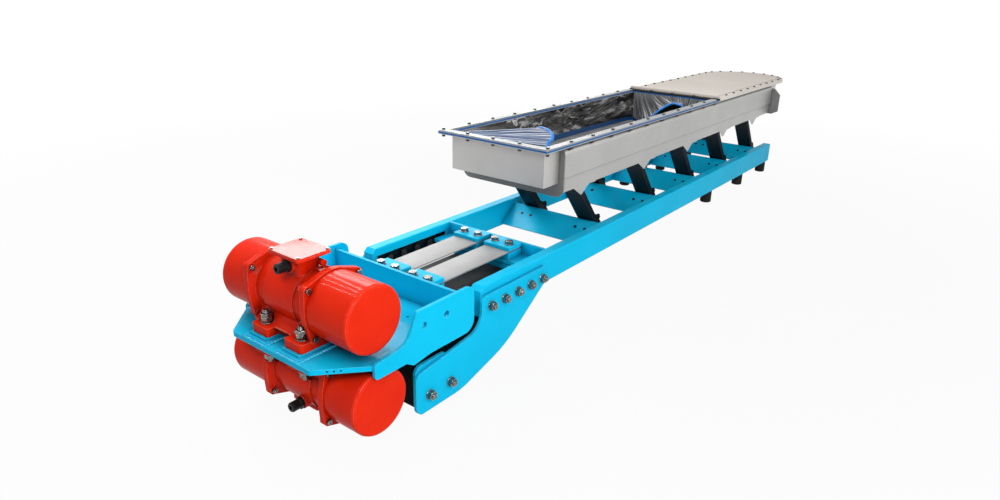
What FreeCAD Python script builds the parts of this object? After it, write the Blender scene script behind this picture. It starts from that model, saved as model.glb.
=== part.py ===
# Vibrating conveyor: a base frame on rubber feet, a stainless trough on inclined leaf-spring legs,
# and an exciter with two unbalance motors held on flat drive springs at the front of the frame.
# Millimetres, +Z up, +X towards the discharge end. The origin lies midway between the four
# corner feet, on the plane of their undersides.
import FreeCAD, Part
import math
import os
from FreeCAD import Vector

# Base frame: two rectangular tubes, rubber feet
frame_width = 620.0
rail_length = 3200.0
rail_width = 50.0
rail_height = 120.0
rail_wall = 5.0
rail_edge_radius = 6.0
rail_nose_chamfer = 18.0
rail_window_lip = 34.0
rail_window_sill = 14.0
rail_window_start = 26.0
foot_diameter = 64.0
foot_height = 70.0
foot_edge = 4.0
foot_thread_radius = 6.0
foot_thread_depth = 22.0
front_foot_setback = 180.0
rear_foot_inset = 50.0
foot_inset = 34.0
middle_foot_setback = 103.0
middle_foot_count = 2

# Cross plate with the rear spring shelf
cross_plate_setback = 467.0
cross_plate_thickness = 12.0
shelf_thickness = 15.0
shelf_drop = 51.0
rear_shelf_depth = 100.0
shelf_nose = 6.0

# Leaf-spring legs and the folded cross members that carry them
leg_lean = 39.0
first_leg_setback = 967.0
first_bay = 590.0
last_leg_inset = 83.0
leg_pairs = 5
cross_member_drop = 17.0
cross_member_thickness = 8.0
cross_member_bend = 14.0
front_flank_length = 142.0
rear_flank_length = 112.0
access_hole_radius = 8.5
access_hole_drop = 57.0
leg_offset = 156.0
leg_width = 92.0
leaf_count = 3
leaf_thickness = 6.0
leaf_spacer = 5.0
leg_foot_overlap = 96.0
leg_free_length = 270.0
leg_head_overlap = 52.0
leg_clamp_thickness = 12.0
leg_clamp_margin = 5.0
leg_bolt_pitch = 53.0
leg_nut_width = 24.0
leg_nut_height = 18.0
leg_stud_radius = 7.5
leg_stud_end = 9.0
leg_head_gap = 3.0

# S-shaped side plates and the ballast beam they carry under the exciter
side_plate_thickness = 12.0
side_plate_top_drop = 34.0
side_plate_tail = 396.0
side_plate_tail_under = 84.0
side_plate_nose = -6.0
side_plate_nose_radius = 26.0
side_plate_front = -350.0
side_plate_front_radius = 34.0
side_plate_underside = -168.0
side_plate_arm_top = -10.0
side_plate_throat = 36.0
side_plate_throat_radius = 72.0
side_plate_belly = (-120.0, 300.0)
side_plate_flank = (140.0, -94.0, 480.0)
side_plate_tail_radius = 26.0
side_plate_edge_radius = 12.0
side_plate_hole_radius = 10.5
rail_bolt_start = 46.0
rail_bolt_pitch = 82.0
rail_bolt_count = 5
rail_bolt_drop = 82.0
beam_bolt_setbacks = (-285.0, -180.0)
beam_bolt_height = -106.0
beam_bolt_depth = 34.0
beam_front = -340.0
beam_depth = 164.0
beam_top = 14.0
beam_underside = -160.0
beam_tail_setback = 120.0
beam_tail_thickness = 50.0
beam_end_thickness = 12.0
beam_end_radius = 30.0
beam_end_margin = 10.0
bolt_radius = 10.0
bolt_end = 7.0
nut_width = 30.0
nut_height = 17.0
washer_radius = 18.5
washer_thickness = 3.0
bolt_head_height = 13.0

# Flat drive springs between frame and exciter
drive_spring_width = 124.0
drive_spring_spacing = 170.0
drive_spring_thickness = 8.0
spring_end_margin = 4.0
spring_seat_height = 30.0
clamp_plate_thickness = 16.0
clamp_plate_width = 132.0
clamp_hole_clearance = 0.5
clamp_bolt_pitch = 76.0
rear_clamp_length = 88.0
front_clamp_length = 104.0
clamp_bolt_inset = 45.0
cut_margin = 1.0

# Exciter weldment
exciter_width = 672.0
exciter_plate_thickness = 12.0
exciter_top = 235.0
exciter_underside = 61.0
exciter_rear = -68.0
exciter_top_radius = 36.0
exciter_heel_radius = 46.0
exciter_shoulder = -350.0
exciter_shoulder_radius = 8.0
exciter_slope = (-376.0, 180.0, 40.0)
exciter_chin = (-370.0, 50.0, 14.0)
exciter_belly = (-290.0, 120.0)
arm_nose = -536.0
arm_nose_radius = 13.0
arm_top = 126.0
arm_underside = 70.0
arm_root = -402.0
arm_root_rise = 10.0
arm_root_radius = 60.0
arm_notch_radius = 16.0
exciter_hole_radius = 12.0
exciter_hole_setbacks = (-319.0, -211.0)
exciter_hole_height = 175.0
motor_plate_top = 119.0
motor_plate_thickness = 18.0
motor_plate_front = -674.0
motor_plate_front_width = 396.0
motor_plate_corner = 18.0
earth_hole_radius = 3.5
earth_hole_depth = 14.0
earth_hole_pitch = 20.0
earth_hole_count = 3
earth_hole_share = 0.61
cable_hole = (-231.0, -170.0, 5.0)
rear_plate_setback = -136.0
rear_plate_thickness = 12.0
rear_plate_top = 220.0
front_shelf_end = -28.0
front_shelf_side_gap = 40.0

# Unbalance motors
motor_setback = -505.0
motor_axis_height = 124.0
motor_half_length = 316.0
cover_shift = 5.0
flange_shift = 26.0
cover_radius = 114.0
cover_wall = 4.0
cover_rim = 9.0
cover_rim_break = 2.7
motor_flange_offset = 156.0
motor_flange_thickness = 23.0
motor_flange_radius = 119.0
motor_body_radius = 99.0
motor_bore_radius = 84.0
shield_thickness = 22.0
lug_radius = 15.0
lug_circle_radius = 126.0
lug_angles = (38.0, 142.0, 226.0, 314.0)
lug_bolt_width = 17.0
lug_bolt_height = 8.0
lug_step = 2.0
lug_nut_height = 9.0
lug_bolt_radius = 5.0
lug_bolt_end = 4.0
motor_foot_length = 282.0
motor_foot_width = 258.0
motor_foot_thickness = 30.0
motor_foot_notch_width = 84.0
motor_foot_notch_depth = 46.0
motor_foot_corner = 14.0
motor_foot_notch_edge = 8.0
motor_foot_notch_radius = 10.0
motor_pillar_width = 226.0
motor_pillar_neck_width = 168.0
motor_pillar_radius = 34.0
motor_band_width = 150.0
motor_band_height = 5.0
motor_flange_slope = 10.0
stud_pitch_long = 214.0
stud_pitch_cross = 182.0
motor_stud_radius = 11.0
stud_nut_width = 34.0
stud_nut_height = 18.0
stud_lock_height = 12.6
stud_washer_radius = 20.5
stud_end = 12.0
spot_face_radius = 24.0
spot_face_height = 52.0
pad_step = 7.5
under_pad_step = 3.0
pad_margin = 10.0
pad_step_margin = 12.0
terminal_box_length = 130.0
terminal_box_width = 152.0
terminal_box_height = 156.0
terminal_box_offset = -23.0
terminal_lid_thickness = 5.0
terminal_neck_inset = 19.0
terminal_root_inset = 30.0
terminal_neck_corner = 22.0
terminal_rim_height = 8.0
terminal_corner = 8.0
terminal_root = 60.0
terminal_plug_offset = 8.0
terminal_plug_radius = 11.0
terminal_plug_length = 22.0
lid_screw_inset = 9.0
lid_screw_radius = 5.0
lid_screw_height = 4.0
flush_lid_length = 110.0
flush_lid_width = 130.0
flush_lid_height = 106.0
gland_height = 123.0
gland_side = -10.0
gland_radius = 17.0
gland_boss_radius = 25.0
gland_boss_length = 8.0
gland_hex_width = 36.0
gland_hex_length = 12.0
gland_length = 44.0
gland_neck_radius = 14.5
gland_cap_gap = 4.0
gland_cap_length = 24.0
gland_bore_radius = 8.0
gland_bore_depth = 16.0
low_gland_height = 62.0
low_gland_side = 45.0
low_gland_collar_radius = 23.0
low_gland_reach = 98.0
low_gland_collar_length = 59.0
shaft_radius = 22.0
running_clearance = 0.05
bearing_radius = 45.0
rotor_radius = 56.0
rotor_air_gap = 1.0
rotor_half_length = 76.0
shaft_half_length = 280.0
weight_radius = 92.0
weight_thickness = 34.0
weight_gap = 6.0
weight_hub_radius = 34.0
weight_start = 176.0

# Trough: pan, casing panels, bulkheads
pan_width = 488.0
pan_sheet = 4.0
pan_front = 472.0
pan_depth = 155.0
flange_width = 40.0
flange_sheet = 4.0
flange_front_lip = 44.0
discharge_overhang = 104.0
outlet_lead = 66.0
outlet_radius = 130.0
spigot_wall = 4.0
spigot_length = 58.0
casing_width = 546.0
casing_sheet = 4.0
casing_front = 583.0
casing_rear_inset = 23.0
casing_seam_rise = 25.5
casing_joggle = 6.0
casing_top_gap = 4.0
skirt_drop = 37.0
tab_drop = 42.0
tab_ahead = 31.5
tab_front_reach = 64.0
tab_rear_reach = 62.0
tab_front_radius = 20.0
tab_tip_radius = 9.0
tab_rear_radius = 84.0
front_bulkhead_thickness = 5.0
front_bulkhead_drop = 60.0
front_bulkhead_radius = 42.0
rear_bulkhead_thickness = 8.0
rear_bulkhead_width = 660.0
rear_bulkhead_drop = 41.0
rear_bulkhead_rise = 130.0
rear_bulkhead_chamfer = 40.0
bracket_thickness = 30.0

# Inlet frame, film sleeve, cover
gasket_thickness = 6.0
gasket_overhang = 2.0
clamp_frame_thickness = 8.0
inlet_end = 2178.0
sleeve_film = 2.0
sleeve_collar = 8.0
sleeve_wall_gap = 5.0
sleeve_depth = 118.0
sleeve_side_taper = 26.0
sleeve_end_taper = 120.0
hem_height = 12.0
hem_thickness = 5.0
cover_frame_height = 12.0
cover_frame_width = 40.0
cover_sheet = 3.0
cover_panel_rise = 2.5
cover_panel_inset = 44.0
cover_bar_depth = 18.0
cover_bar_height = 28.0
cover_bar_overhang = 4.0
cover_seal_height = 13.0
inlet_bolt_pitch = 176.0
inlet_bolt_end_gap = 20.0
inlet_bolt_edge = 11.0
inlet_cross_bolts = 5
cover_bolt_pitch = 125.0
cover_arc_bolts = 9
flange_bolt_width = 13.0
flange_bolt_height = 6.0
flange_nut_height = 13.0

# Places worked out from the sizes above
rear_foot_setback = rail_length - rear_foot_inset
rail_front = -(front_foot_setback + rear_foot_setback) / 2
rail_under = foot_height
rail_top = rail_under + rail_height
rail_outer = frame_width / 2
rail_inner = rail_outer - rail_width
foot_line = rail_outer - foot_inset
lean = math.radians(leg_lean)
leg_up = Vector(-math.sin(lean), 0, math.cos(lean))
stroke = Vector(math.cos(lean), 0, math.sin(lean))
leg_pack = leaf_count * leaf_thickness + (leaf_count - 1) * leaf_spacer
bay = (rail_length - last_leg_inset - first_leg_setback - first_bay) / (leg_pairs - 2)
leg_ridge = rail_top - cross_member_drop
leg_rise = leg_free_length + leg_head_overlap
shelf_top = rail_top - shelf_drop
shelf_under = shelf_top - shelf_thickness
spring_offset = drive_spring_spacing / 2
upper_spring_under = shelf_top + spring_seat_height
lower_spring_top = shelf_under - spring_seat_height
clamp_stack_top = upper_spring_under + drive_spring_thickness + clamp_plate_thickness
clamp_stack_under = lower_spring_top - drive_spring_thickness - clamp_plate_thickness
rear_bolt_setback = cross_plate_setback - rear_shelf_depth + clamp_bolt_inset
rear_clamp_start = cross_plate_setback - rear_shelf_depth + shelf_nose
front_clamp_start = rear_plate_setback + rear_plate_thickness
front_bolt_setback = front_clamp_start + clamp_bolt_inset
motor_plate_under = motor_plate_top - motor_plate_thickness
upper_foot = motor_plate_top + 2 * pad_step
lower_foot = motor_plate_under - 2 * under_pad_step
lug_reach = math.acos((motor_flange_radius - lug_radius) / lug_circle_radius)
half_pan = pan_width / 2
half_flange = half_pan + flange_width
flange_front = pan_front - flange_front_lip
pan_floor = leg_ridge + leg_up.z * leg_rise + stroke.z * leg_pack + leg_head_gap
pan_rim = pan_floor + pan_depth
discharge_centre = rail_length + discharge_overhang
outlet_setback = discharge_centre + outlet_lead
casing_rear = rail_length - casing_rear_inset
casing_seam = pan_floor + casing_seam_rise
skirt_underside = pan_floor - skirt_drop
tab_lead = tab_ahead - leg_up.x * leg_rise
flange_top = pan_rim + flange_sheet
gasket_top = flange_top + gasket_thickness
clamp_frame_top = gasket_top + clamp_frame_thickness
half_casing = casing_width / 2
casing_bend = half_casing - half_pan
cover_start = inlet_end + cover_bar_depth
cover_frame_top = flange_top + cover_frame_height
exciter_inner = exciter_width / 2 - exciter_plate_thickness
Y_AXIS = Vector(0, 1, 0)
X_AXIS = Vector(1, 0, 0)
Z_AXIS = Vector(0, 0, 1)
nodes = {}


def along(setback):
    """X of a place measured back from the front end of the rails."""
    return rail_front + setback


def block(x0, x1, y0, y1, z0, z1):
    return Part.makeBox(x1 - x0, y1 - y0, z1 - z0, Vector(x0, y0, z0))


def rod(start, axis, radius, length):
    return Part.makeCylinder(radius, length, start, axis)


def hexagon(start, axis, width, length):
    """Hexagon bar of a width across flats, with two flats square to the frame."""
    cross = X_AXIS if abs(axis.x) < 0.5 else Y_AXIS
    cross = cross - axis * cross.dot(axis)
    cross.normalize()
    other = axis.cross(cross)
    reach = width / math.sqrt(3)
    corners = []
    for step in range(7):
        turn = math.radians(60 * step)
        corners.append(start + cross * (reach * math.cos(turn)) + other * (reach * math.sin(turn)))
    return Part.Face(Part.makePolygon(corners)).extrude(axis * length)


def rounded_face(corners, place):
    """Face inside corners of (u, v, radius), each corner rounded by its own radius."""
    count = len(corners)
    rounds = []
    for index in range(count):
        u, v, radius = corners[index]
        corner = Vector(u, v, 0)
        back = Vector(corners[index - 1][0], corners[index - 1][1], 0) - corner
        ahead = Vector(corners[(index + 1) % count][0], corners[(index + 1) % count][1], 0) - corner
        back.normalize()
        ahead.normalize()
        half = back.getAngle(ahead) / 2
        middle = back + ahead
        if radius == 0:
            rounds.append((corner, None, corner))
            continue
        middle.normalize()
        cut = radius / math.tan(half)
        crown = corner + middle * (radius / math.sin(half) - radius)
        rounds.append((corner + back * cut, crown, corner + ahead * cut))
    edges = []
    for index in range(count):
        start, crown, end = rounds[index]
        following = rounds[(index + 1) % count][0]
        if crown is not None:
            edges.append(Part.Arc(place(start), place(crown), place(end)).toShape())
        if end.distanceToPoint(following) > 0.001:
            edges.append(Part.makeLine(place(end), place(following)))
    return Part.Face(Part.Wire(edges))


def side_prism(corners, y0, y1):
    """Prism across the frame from an outline of (x, z, radius)."""
    return rounded_face(corners, lambda p: Vector(p.x, y0, p.y)).extrude(Vector(0, y1 - y0, 0))


def plan_prism(corners, z0, z1):
    """Upright prism from an outline of (x, y, radius)."""
    return rounded_face(corners, lambda p: Vector(p.x, p.y, z0)).extrude(Vector(0, 0, z1 - z0))


def end_prism(corners, x0, x1):
    """Prism along the frame from an outline of (y, z, radius)."""
    return rounded_face(corners, lambda p: Vector(x0, p.x, p.y)).extrude(Vector(x1 - x0, 0, 0))


def rectangle(u0, u1, v0, v1, radius=0):
    return [(u0, v0, radius), (u1, v0, radius), (u1, v1, radius), (u0, v1, radius)]


def other_side(shape):
    return shape.mirror(Vector(0, 0, 0), Y_AXIS)


def both_sides(shapes):
    return shapes + [other_side(shape) for shape in shapes]


def fused(shapes):
    return shapes[0].multiFuse(shapes[1:]).removeSplitter()


def cut_all(shape, tools):
    return shape.cut(Part.makeCompound(tools))


def leg_stations():
    """Setbacks of the cross members' ridges: a longer first bay, then equal bays."""
    start = first_leg_setback + first_bay
    return [first_leg_setback] + [start + bay * index for index in range(leg_pairs - 1)]


def on_leg(station, rise, out, y):
    """Place beside a leg: rise along it from the cross member's ridge, out square to its face."""
    ridge = Vector(along(station), y, leg_ridge)
    return ridge + leg_up * rise + stroke * out


def leg_slab(station, rise0, rise1, out0, out1, y0, y1):
    """Slab that lies along a leg between two rises and two distances out."""
    places = [(rise0, out0), (rise1, out0), (rise1, out1), (rise0, out1), (rise0, out0)]
    face = Part.Face(Part.makePolygon([on_leg(station, rise, out, y0) for rise, out in places]))
    return face.extrude(Vector(0, y1 - y0, 0))


# Base frame

def rail_bolt_places():
    return [rail_bolt_start + rail_bolt_pitch * index for index in range(rail_bolt_count)]


def make_rail():
    outer = side_prism([
        (along(0), rail_under, 0), (along(rail_length), rail_under, 0),
        (along(rail_length), rail_top, 0), (along(rail_nose_chamfer), rail_top, 0),
        (along(0), rail_top - rail_nose_chamfer, 0)], rail_inner, rail_outer)
    long_edges = [edge for edge in outer.Edges if edge.Length > rail_length / 2]
    outer = outer.makeFillet(rail_edge_radius, long_edges)
    hollow = side_prism([
        (along(rail_wall), rail_under + rail_wall, 0),
        (along(rail_length - rail_wall), rail_under + rail_wall, 0),
        (along(rail_length - rail_wall), rail_top - rail_wall, 0),
        (along(rail_nose_chamfer + rail_wall), rail_top - rail_wall, 0),
        (along(rail_wall), rail_top - rail_nose_chamfer - rail_wall, 0)],
        rail_inner + rail_wall, rail_outer - rail_wall)
    window = block(along(rail_window_start), along(cross_plate_setback - rail_window_start),
                   rail_inner - cut_margin, rail_inner + 2 * rail_wall,
                   rail_under + rail_window_sill, rail_top - rail_window_lip)
    holes = [rod(Vector(along(place), rail_outer - 2 * rail_wall, rail_top - rail_bolt_drop), Y_AXIS,
                 side_plate_hole_radius, 3 * rail_wall) for place in rail_bolt_places()]
    return cut_all(outer, [hollow, window] + holes)


def foot_setbacks():
    """A foot near each end of the rail, and one behind each of the legs before the last."""
    stations = leg_stations()[-1 - middle_foot_count:-1]
    middle = [station + middle_foot_setback for station in stations]
    return [front_foot_setback] + middle + [rear_foot_setback]


def make_foot(setback):
    foot = rod(Vector(along(setback), foot_line, 0), Z_AXIS, foot_diameter / 2, foot_height)
    foot = foot.makeChamfer(foot_edge, [foot.Edges[index] for index in (0, 2)])
    thread = rod(Vector(along(setback), foot_line, 0), Z_AXIS, foot_thread_radius, foot_thread_depth)
    return foot.cut(thread)


def clamp_bolt_sides():
    offsets = []
    for side in (-1, 1):
        for half in (-0.5, 0.5):
            offsets.append(side * spring_offset + half * clamp_bolt_pitch)
    return offsets


def clamp_holes(setback):
    length = clamp_stack_top - clamp_stack_under + 2 * cut_margin
    return [rod(Vector(along(setback), y, clamp_stack_under - cut_margin), Z_AXIS,
                bolt_radius + clamp_hole_clearance, length) for y in clamp_bolt_sides()]


def make_cross_plate():
    plate = block(along(cross_plate_setback), along(cross_plate_setback + cross_plate_thickness),
                  -rail_inner, rail_inner, rail_under, rail_top)
    shelf = block(along(cross_plate_setback - rear_shelf_depth), along(cross_plate_setback),
                  -rail_inner, rail_inner, shelf_under, shelf_top)
    return cut_all(fused([plate, shelf]), clamp_holes(rear_bolt_setback))


def make_cross_member(station):
    ridge = on_leg(station, 0, 0, 0)
    front_end = ridge - stroke * front_flank_length
    rear_end = ridge - leg_up * rear_flank_length
    inner = ridge - stroke * cross_member_thickness - leg_up * cross_member_thickness
    front_inner = front_end - leg_up * cross_member_thickness
    rear_inner = rear_end - stroke * cross_member_thickness
    inner_bend = cross_member_bend - cross_member_thickness
    fold = side_prism([
        (ridge.x, ridge.z, cross_member_bend), (rear_end.x, rear_end.z, 0),
        (rear_inner.x, rear_inner.z, 0), (inner.x, inner.z, inner_bend),
        (front_inner.x, front_inner.z, 0), (front_end.x, front_end.z, 0)], -rail_inner, rail_inner)
    holes = []
    for side in (-1, 1):
        for half in (-0.5, 0.5):
            y = side * leg_offset + half * leg_bolt_pitch
            start = on_leg(station, cross_member_thickness, -access_hole_drop, y)
            holes.append(rod(start, leg_up * -1, access_hole_radius, 3 * cross_member_thickness))
    return cut_all(fold, holes)


def make_side_plate():
    top = rail_top - side_plate_top_drop
    belly, belly_radius = side_plate_belly
    flank, flank_height, flank_radius = side_plate_flank
    outline = [
        (along(side_plate_nose), top, side_plate_nose_radius),
        (along(side_plate_nose), side_plate_throat, side_plate_throat_radius),
        (along(side_plate_front), side_plate_arm_top, side_plate_front_radius),
        (along(side_plate_front), side_plate_underside, side_plate_front_radius),
        (along(belly), side_plate_underside, belly_radius),
        (along(flank), flank_height, flank_radius),
        (along(side_plate_tail), side_plate_tail_under, side_plate_tail_radius),
        (along(side_plate_tail), top, side_plate_edge_radius)]
    plate = side_prism(outline, rail_outer, rail_outer + side_plate_thickness)
    holes = [(place, rail_top - rail_bolt_drop) for place in rail_bolt_places()]
    holes += [(place, beam_bolt_height) for place in beam_bolt_setbacks]
    tools = [rod(Vector(along(x), rail_outer - cut_margin, z), Y_AXIS, side_plate_hole_radius,
                 side_plate_thickness + 2 * cut_margin) for x, z in holes]
    return cut_all(plate, tools)


def beam_sockets():
    return both_sides([rod(Vector(along(x), rail_outer - beam_bolt_depth, beam_bolt_height), Y_AXIS,
                           side_plate_hole_radius, beam_bolt_depth) for x in beam_bolt_setbacks])


def make_ballast_beam():
    end_y = rail_outer - beam_end_thickness
    rear = along(beam_front + beam_depth - beam_end_margin)
    top = beam_top - beam_end_margin
    beam = block(along(beam_front + beam_end_margin), rear, -end_y, end_y,
                 beam_underside + beam_end_margin, top)
    tail = block(rear, along(beam_tail_setback), -end_y, end_y, top - beam_tail_thickness, top)
    return cut_all(fused([beam, tail]), beam_sockets())


def make_beam_end():
    end = side_prism(rectangle(along(beam_front), along(beam_front + beam_depth), beam_underside, beam_top,
                               beam_end_radius), rail_outer - beam_end_thickness, rail_outer)
    return cut_all(end, beam_sockets())


def nut_stack(start, axis, end_length):
    """Washer, nut and the end of the bolt that stands out of it, seated at start."""
    washer = rod(start, axis, washer_radius, washer_thickness)
    nut = hexagon(start + axis * washer_thickness, axis, nut_width, nut_height)
    end = rod(start + axis * washer_thickness, axis, bolt_radius, nut_height + end_length)
    return [washer, nut, end]


def make_side_plate_bolts():
    bolts = []
    seat = rail_outer + side_plate_thickness
    for place in rail_bolt_places():
        inside = rail_outer - rail_wall
        start = Vector(along(place), seat, rail_top - rail_bolt_drop)
        head = hexagon(Vector(start.x, inside - bolt_head_height, start.z), Y_AXIS, nut_width,
                       bolt_head_height)
        shank = rod(Vector(start.x, inside - bolt_head_height, start.z), Y_AXIS, bolt_radius,
                    seat - inside + bolt_head_height + washer_thickness)
        bolts.append(fused(nut_stack(start, Y_AXIS, bolt_end) + [head, shank]))
    for place in beam_bolt_setbacks:
        start = Vector(along(place), seat, beam_bolt_height)
        shank = rod(Vector(start.x, rail_outer - beam_bolt_depth, start.z), Y_AXIS, bolt_radius,
                    beam_bolt_depth + side_plate_thickness + washer_thickness)
        bolts.append(fused(nut_stack(start, Y_AXIS, bolt_end) + [shank]))
    return both_sides(bolts)


# Flat drive springs and their clamps

def spring_strips(x0, x1, z0, z1, width, holes):
    strips = []
    for side in (-1, 1):
        y = side * spring_offset
        strip = block(x0, x1, y - width / 2, y + width / 2, z0, z1)
        strips.append(cut_all(strip, holes))
    return strips


def make_drive_springs(under):
    holes = clamp_holes(front_bolt_setback) + clamp_holes(rear_bolt_setback)
    return spring_strips(along(front_clamp_start + spring_end_margin),
                         along(rear_clamp_start + rear_clamp_length - spring_end_margin),
                         under, under + drive_spring_thickness, drive_spring_width, holes)


def make_spring_clamps(start, length, bolt_setback):
    """Seat blocks against the shelf and clamp plates outside the springs, above and below."""
    holes = clamp_holes(bolt_setback)
    layers = [(shelf_top, upper_spring_under),
              (clamp_stack_top - clamp_plate_thickness, clamp_stack_top),
              (lower_spring_top, shelf_under),
              (clamp_stack_under, clamp_stack_under + clamp_plate_thickness)]
    blocks = []
    for z0, z1 in layers:
        blocks += spring_strips(along(start), along(start + length), z0, z1, clamp_plate_width, holes)
    return blocks


def make_clamp_bolts(setback):
    bolts = []
    top = clamp_stack_top
    under = clamp_stack_under
    for y in clamp_bolt_sides():
        washer = rod(Vector(along(setback), y, top), Z_AXIS, washer_radius, washer_thickness)
        head = hexagon(Vector(along(setback), y, top + washer_thickness), Z_AXIS, nut_width,
                       bolt_head_height)
        shank = rod(Vector(along(setback), y, under), Z_AXIS, bolt_radius,
                    top + washer_thickness - under)
        stack = nut_stack(Vector(along(setback), y, under), Z_AXIS * -1, bolt_end)
        bolts.append(fused([washer, head, shank] + stack))
    return bolts


# Leaf-spring legs

def leaf_faces():
    pitch = leaf_thickness + leaf_spacer
    return [(index * pitch, index * pitch + leaf_thickness) for index in range(leaf_count)]


def leg_leaves(station, y0, y1):
    leaves = []
    for out0, out1 in leaf_faces():
        leaves.append(leg_slab(station, -leg_foot_overlap, leg_rise, out0, out1, y0, y1))
    return leaves


def make_leg_springs():
    leaves = []
    for station in leg_stations():
        leaves += leg_leaves(station, leg_offset - leg_width / 2, leg_offset + leg_width / 2)
    return leaves


def make_leg_clamps(rise0, rise1, face, outward):
    """Spacers between the leaves, and a clamp plate with two nuts on the pack's face at each leg."""
    pieces = []
    y0 = leg_offset - leg_width / 2
    y1 = leg_offset + leg_width / 2
    faces = leaf_faces()
    outer = face + outward * leg_clamp_thickness
    axis = stroke * outward
    for station in leg_stations():
        for before, after in zip(faces[:-1], faces[1:]):
            pieces.append(leg_slab(station, rise0, rise1, before[1], after[0], y0, y1))
        pieces.append(leg_slab(station, rise0, rise1, face, outer, y0, y1))
        for half in (-0.5, 0.5):
            seat = on_leg(station, (rise0 + rise1) / 2, outer, leg_offset + half * leg_bolt_pitch)
            nut = hexagon(seat, axis, leg_nut_width, leg_nut_height)
            stud = rod(seat + axis * leg_nut_height, axis, leg_stud_radius, leg_stud_end)
            pieces.append(fused([nut, stud]))
    return both_sides(pieces)


# Exciter

def make_exciter_side():
    slope, slope_height, slope_radius = exciter_slope
    chin, chin_height, chin_radius = exciter_chin
    belly, belly_radius = exciter_belly
    outline = [
        (along(exciter_rear), exciter_top, exciter_top_radius),
        (along(exciter_shoulder), exciter_top, exciter_shoulder_radius),
        (along(slope), slope_height, slope_radius),
        (along(arm_root), arm_top + arm_root_rise, arm_root_radius),
        (along(arm_nose), arm_top, arm_nose_radius),
        (along(arm_nose), arm_underside, arm_nose_radius),
        (along(arm_root), arm_underside, arm_notch_radius),
        (along(chin), chin_height, chin_radius),
        (along(belly), exciter_underside, belly_radius),
        (along(exciter_rear), exciter_underside, exciter_heel_radius)]
    plate = side_prism(outline, exciter_inner, exciter_inner + exciter_plate_thickness)
    holes = [rod(Vector(along(x), exciter_inner, exciter_hole_height), Y_AXIS, exciter_hole_radius,
                 exciter_plate_thickness) for x in exciter_hole_setbacks]
    return cut_all(plate, holes)


def stud_places():
    places = []
    for end in (-0.5, 0.5):
        for side in (-0.5, 0.5):
            places.append((along(motor_setback) + end * stud_pitch_long, side * stud_pitch_cross))
    return places


def stud_holes(z0, z1):
    return [rod(Vector(x, y, z0), Z_AXIS, motor_stud_radius + clamp_hole_clearance, z1 - z0)
            for x, y in stud_places()]


def plate_side_holes():
    """Earth screw holes in the near bevelled edge of the motor plate, and a cable hole through it."""
    start = Vector(along(arm_nose), -exciter_inner, motor_plate_top - motor_plate_thickness / 2)
    edge = Vector(along(motor_plate_front), -motor_plate_front_width / 2, start.z) - start
    step = edge / edge.Length * earth_hole_pitch
    inward = Vector(edge.y, -edge.x, 0).normalize()
    first = start + edge * earth_hole_share - step * ((earth_hole_count - 1) / 2)
    holes = [rod(first + step * index - inward * cut_margin, inward, earth_hole_radius,
                 earth_hole_depth + cut_margin) for index in range(earth_hole_count)]
    x, y, radius = cable_hole
    holes.append(rod(Vector(along(x), y, motor_plate_under), Z_AXIS, radius, motor_plate_thickness))
    return holes


def make_motor_plate():
    half_front = motor_plate_front_width / 2
    plate = plan_prism([
        (along(rear_plate_setback), -exciter_inner, 0), (along(rear_plate_setback), exciter_inner, 0),
        (along(arm_nose), exciter_inner, 0), (along(motor_plate_front), half_front, motor_plate_corner),
        (along(motor_plate_front), -half_front, motor_plate_corner), (along(arm_nose), -exciter_inner, 0)],
        motor_plate_under, motor_plate_top)
    pieces = [plate]
    centre = along(motor_setback)
    half_notch = motor_foot_notch_width / 2
    for margin, steps in ((pad_margin + pad_step_margin, 1), (pad_margin, 2)):
        reach = motor_foot_length / 2 + margin
        pads = plan_prism(rectangle(centre - reach, centre + reach, half_notch + pad_margin - margin,
                                    motor_foot_width / 2 + margin - pad_margin),
                          motor_plate_under - steps * under_pad_step, motor_plate_top + steps * pad_step)
        pieces += both_sides([pads])
    holes = stud_holes(lower_foot - cut_margin, upper_foot + cut_margin) + plate_side_holes()
    return cut_all(fused(pieces), holes)


def make_exciter_shelf():
    plate = block(along(rear_plate_setback), along(rear_plate_setback + rear_plate_thickness),
                  -exciter_inner, exciter_inner, exciter_underside, rear_plate_top)
    half = exciter_inner - front_shelf_side_gap
    shelf = block(along(front_clamp_start), along(front_shelf_end), -half, half, shelf_under, shelf_top)
    return cut_all(fused([plate, shelf]), clamp_holes(front_bolt_setback))


def make_motor_studs():
    studs = []
    top = upper_foot + motor_foot_thickness
    under = lower_foot - motor_foot_thickness
    reach = washer_thickness + stud_nut_height + stud_lock_height + stud_end
    for x, y in stud_places():
        pieces = []
        for side, face in ((1, top), (-1, under)):
            axis = Z_AXIS * side
            washer = rod(Vector(x, y, face), axis, stud_washer_radius, washer_thickness)
            first = hexagon(Vector(x, y, face + side * washer_thickness), axis, stud_nut_width,
                            stud_nut_height)
            lock = hexagon(Vector(x, y, face + side * (washer_thickness + stud_nut_height)), axis,
                           stud_nut_width, stud_lock_height)
            pieces += [washer, first, lock]
        pieces.append(rod(Vector(x, y, under - reach), Z_AXIS, motor_stud_radius, top - under + 2 * reach))
        studs.append(fused(pieces))
    return studs


# Motors, built about the upper axis with local x forward-aft, y along the shaft, z away from the feet.
# The feet lie about y = 0, and the shaft with its flanges a little further along.

def along_shaft(shape):
    moved = shape.copy()
    moved.translate(Y_AXIS * flange_shift)
    return moved


def turned(profile):
    """Solid of revolution about the shaft from an outline of (y, radius)."""
    edges = Part.makePolygon([Vector(r, y, 0) for y, r in profile + profile[:1]])
    return Part.Face(edges).revolve(Vector(0, 0, 0), Y_AXIS, 360)


def lug_centres():
    places = []
    for angle in lug_angles:
        turn = math.radians(angle)
        places.append(Vector(lug_circle_radius * math.cos(turn), 0, lug_circle_radius * math.sin(turn)))
    return places


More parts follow.
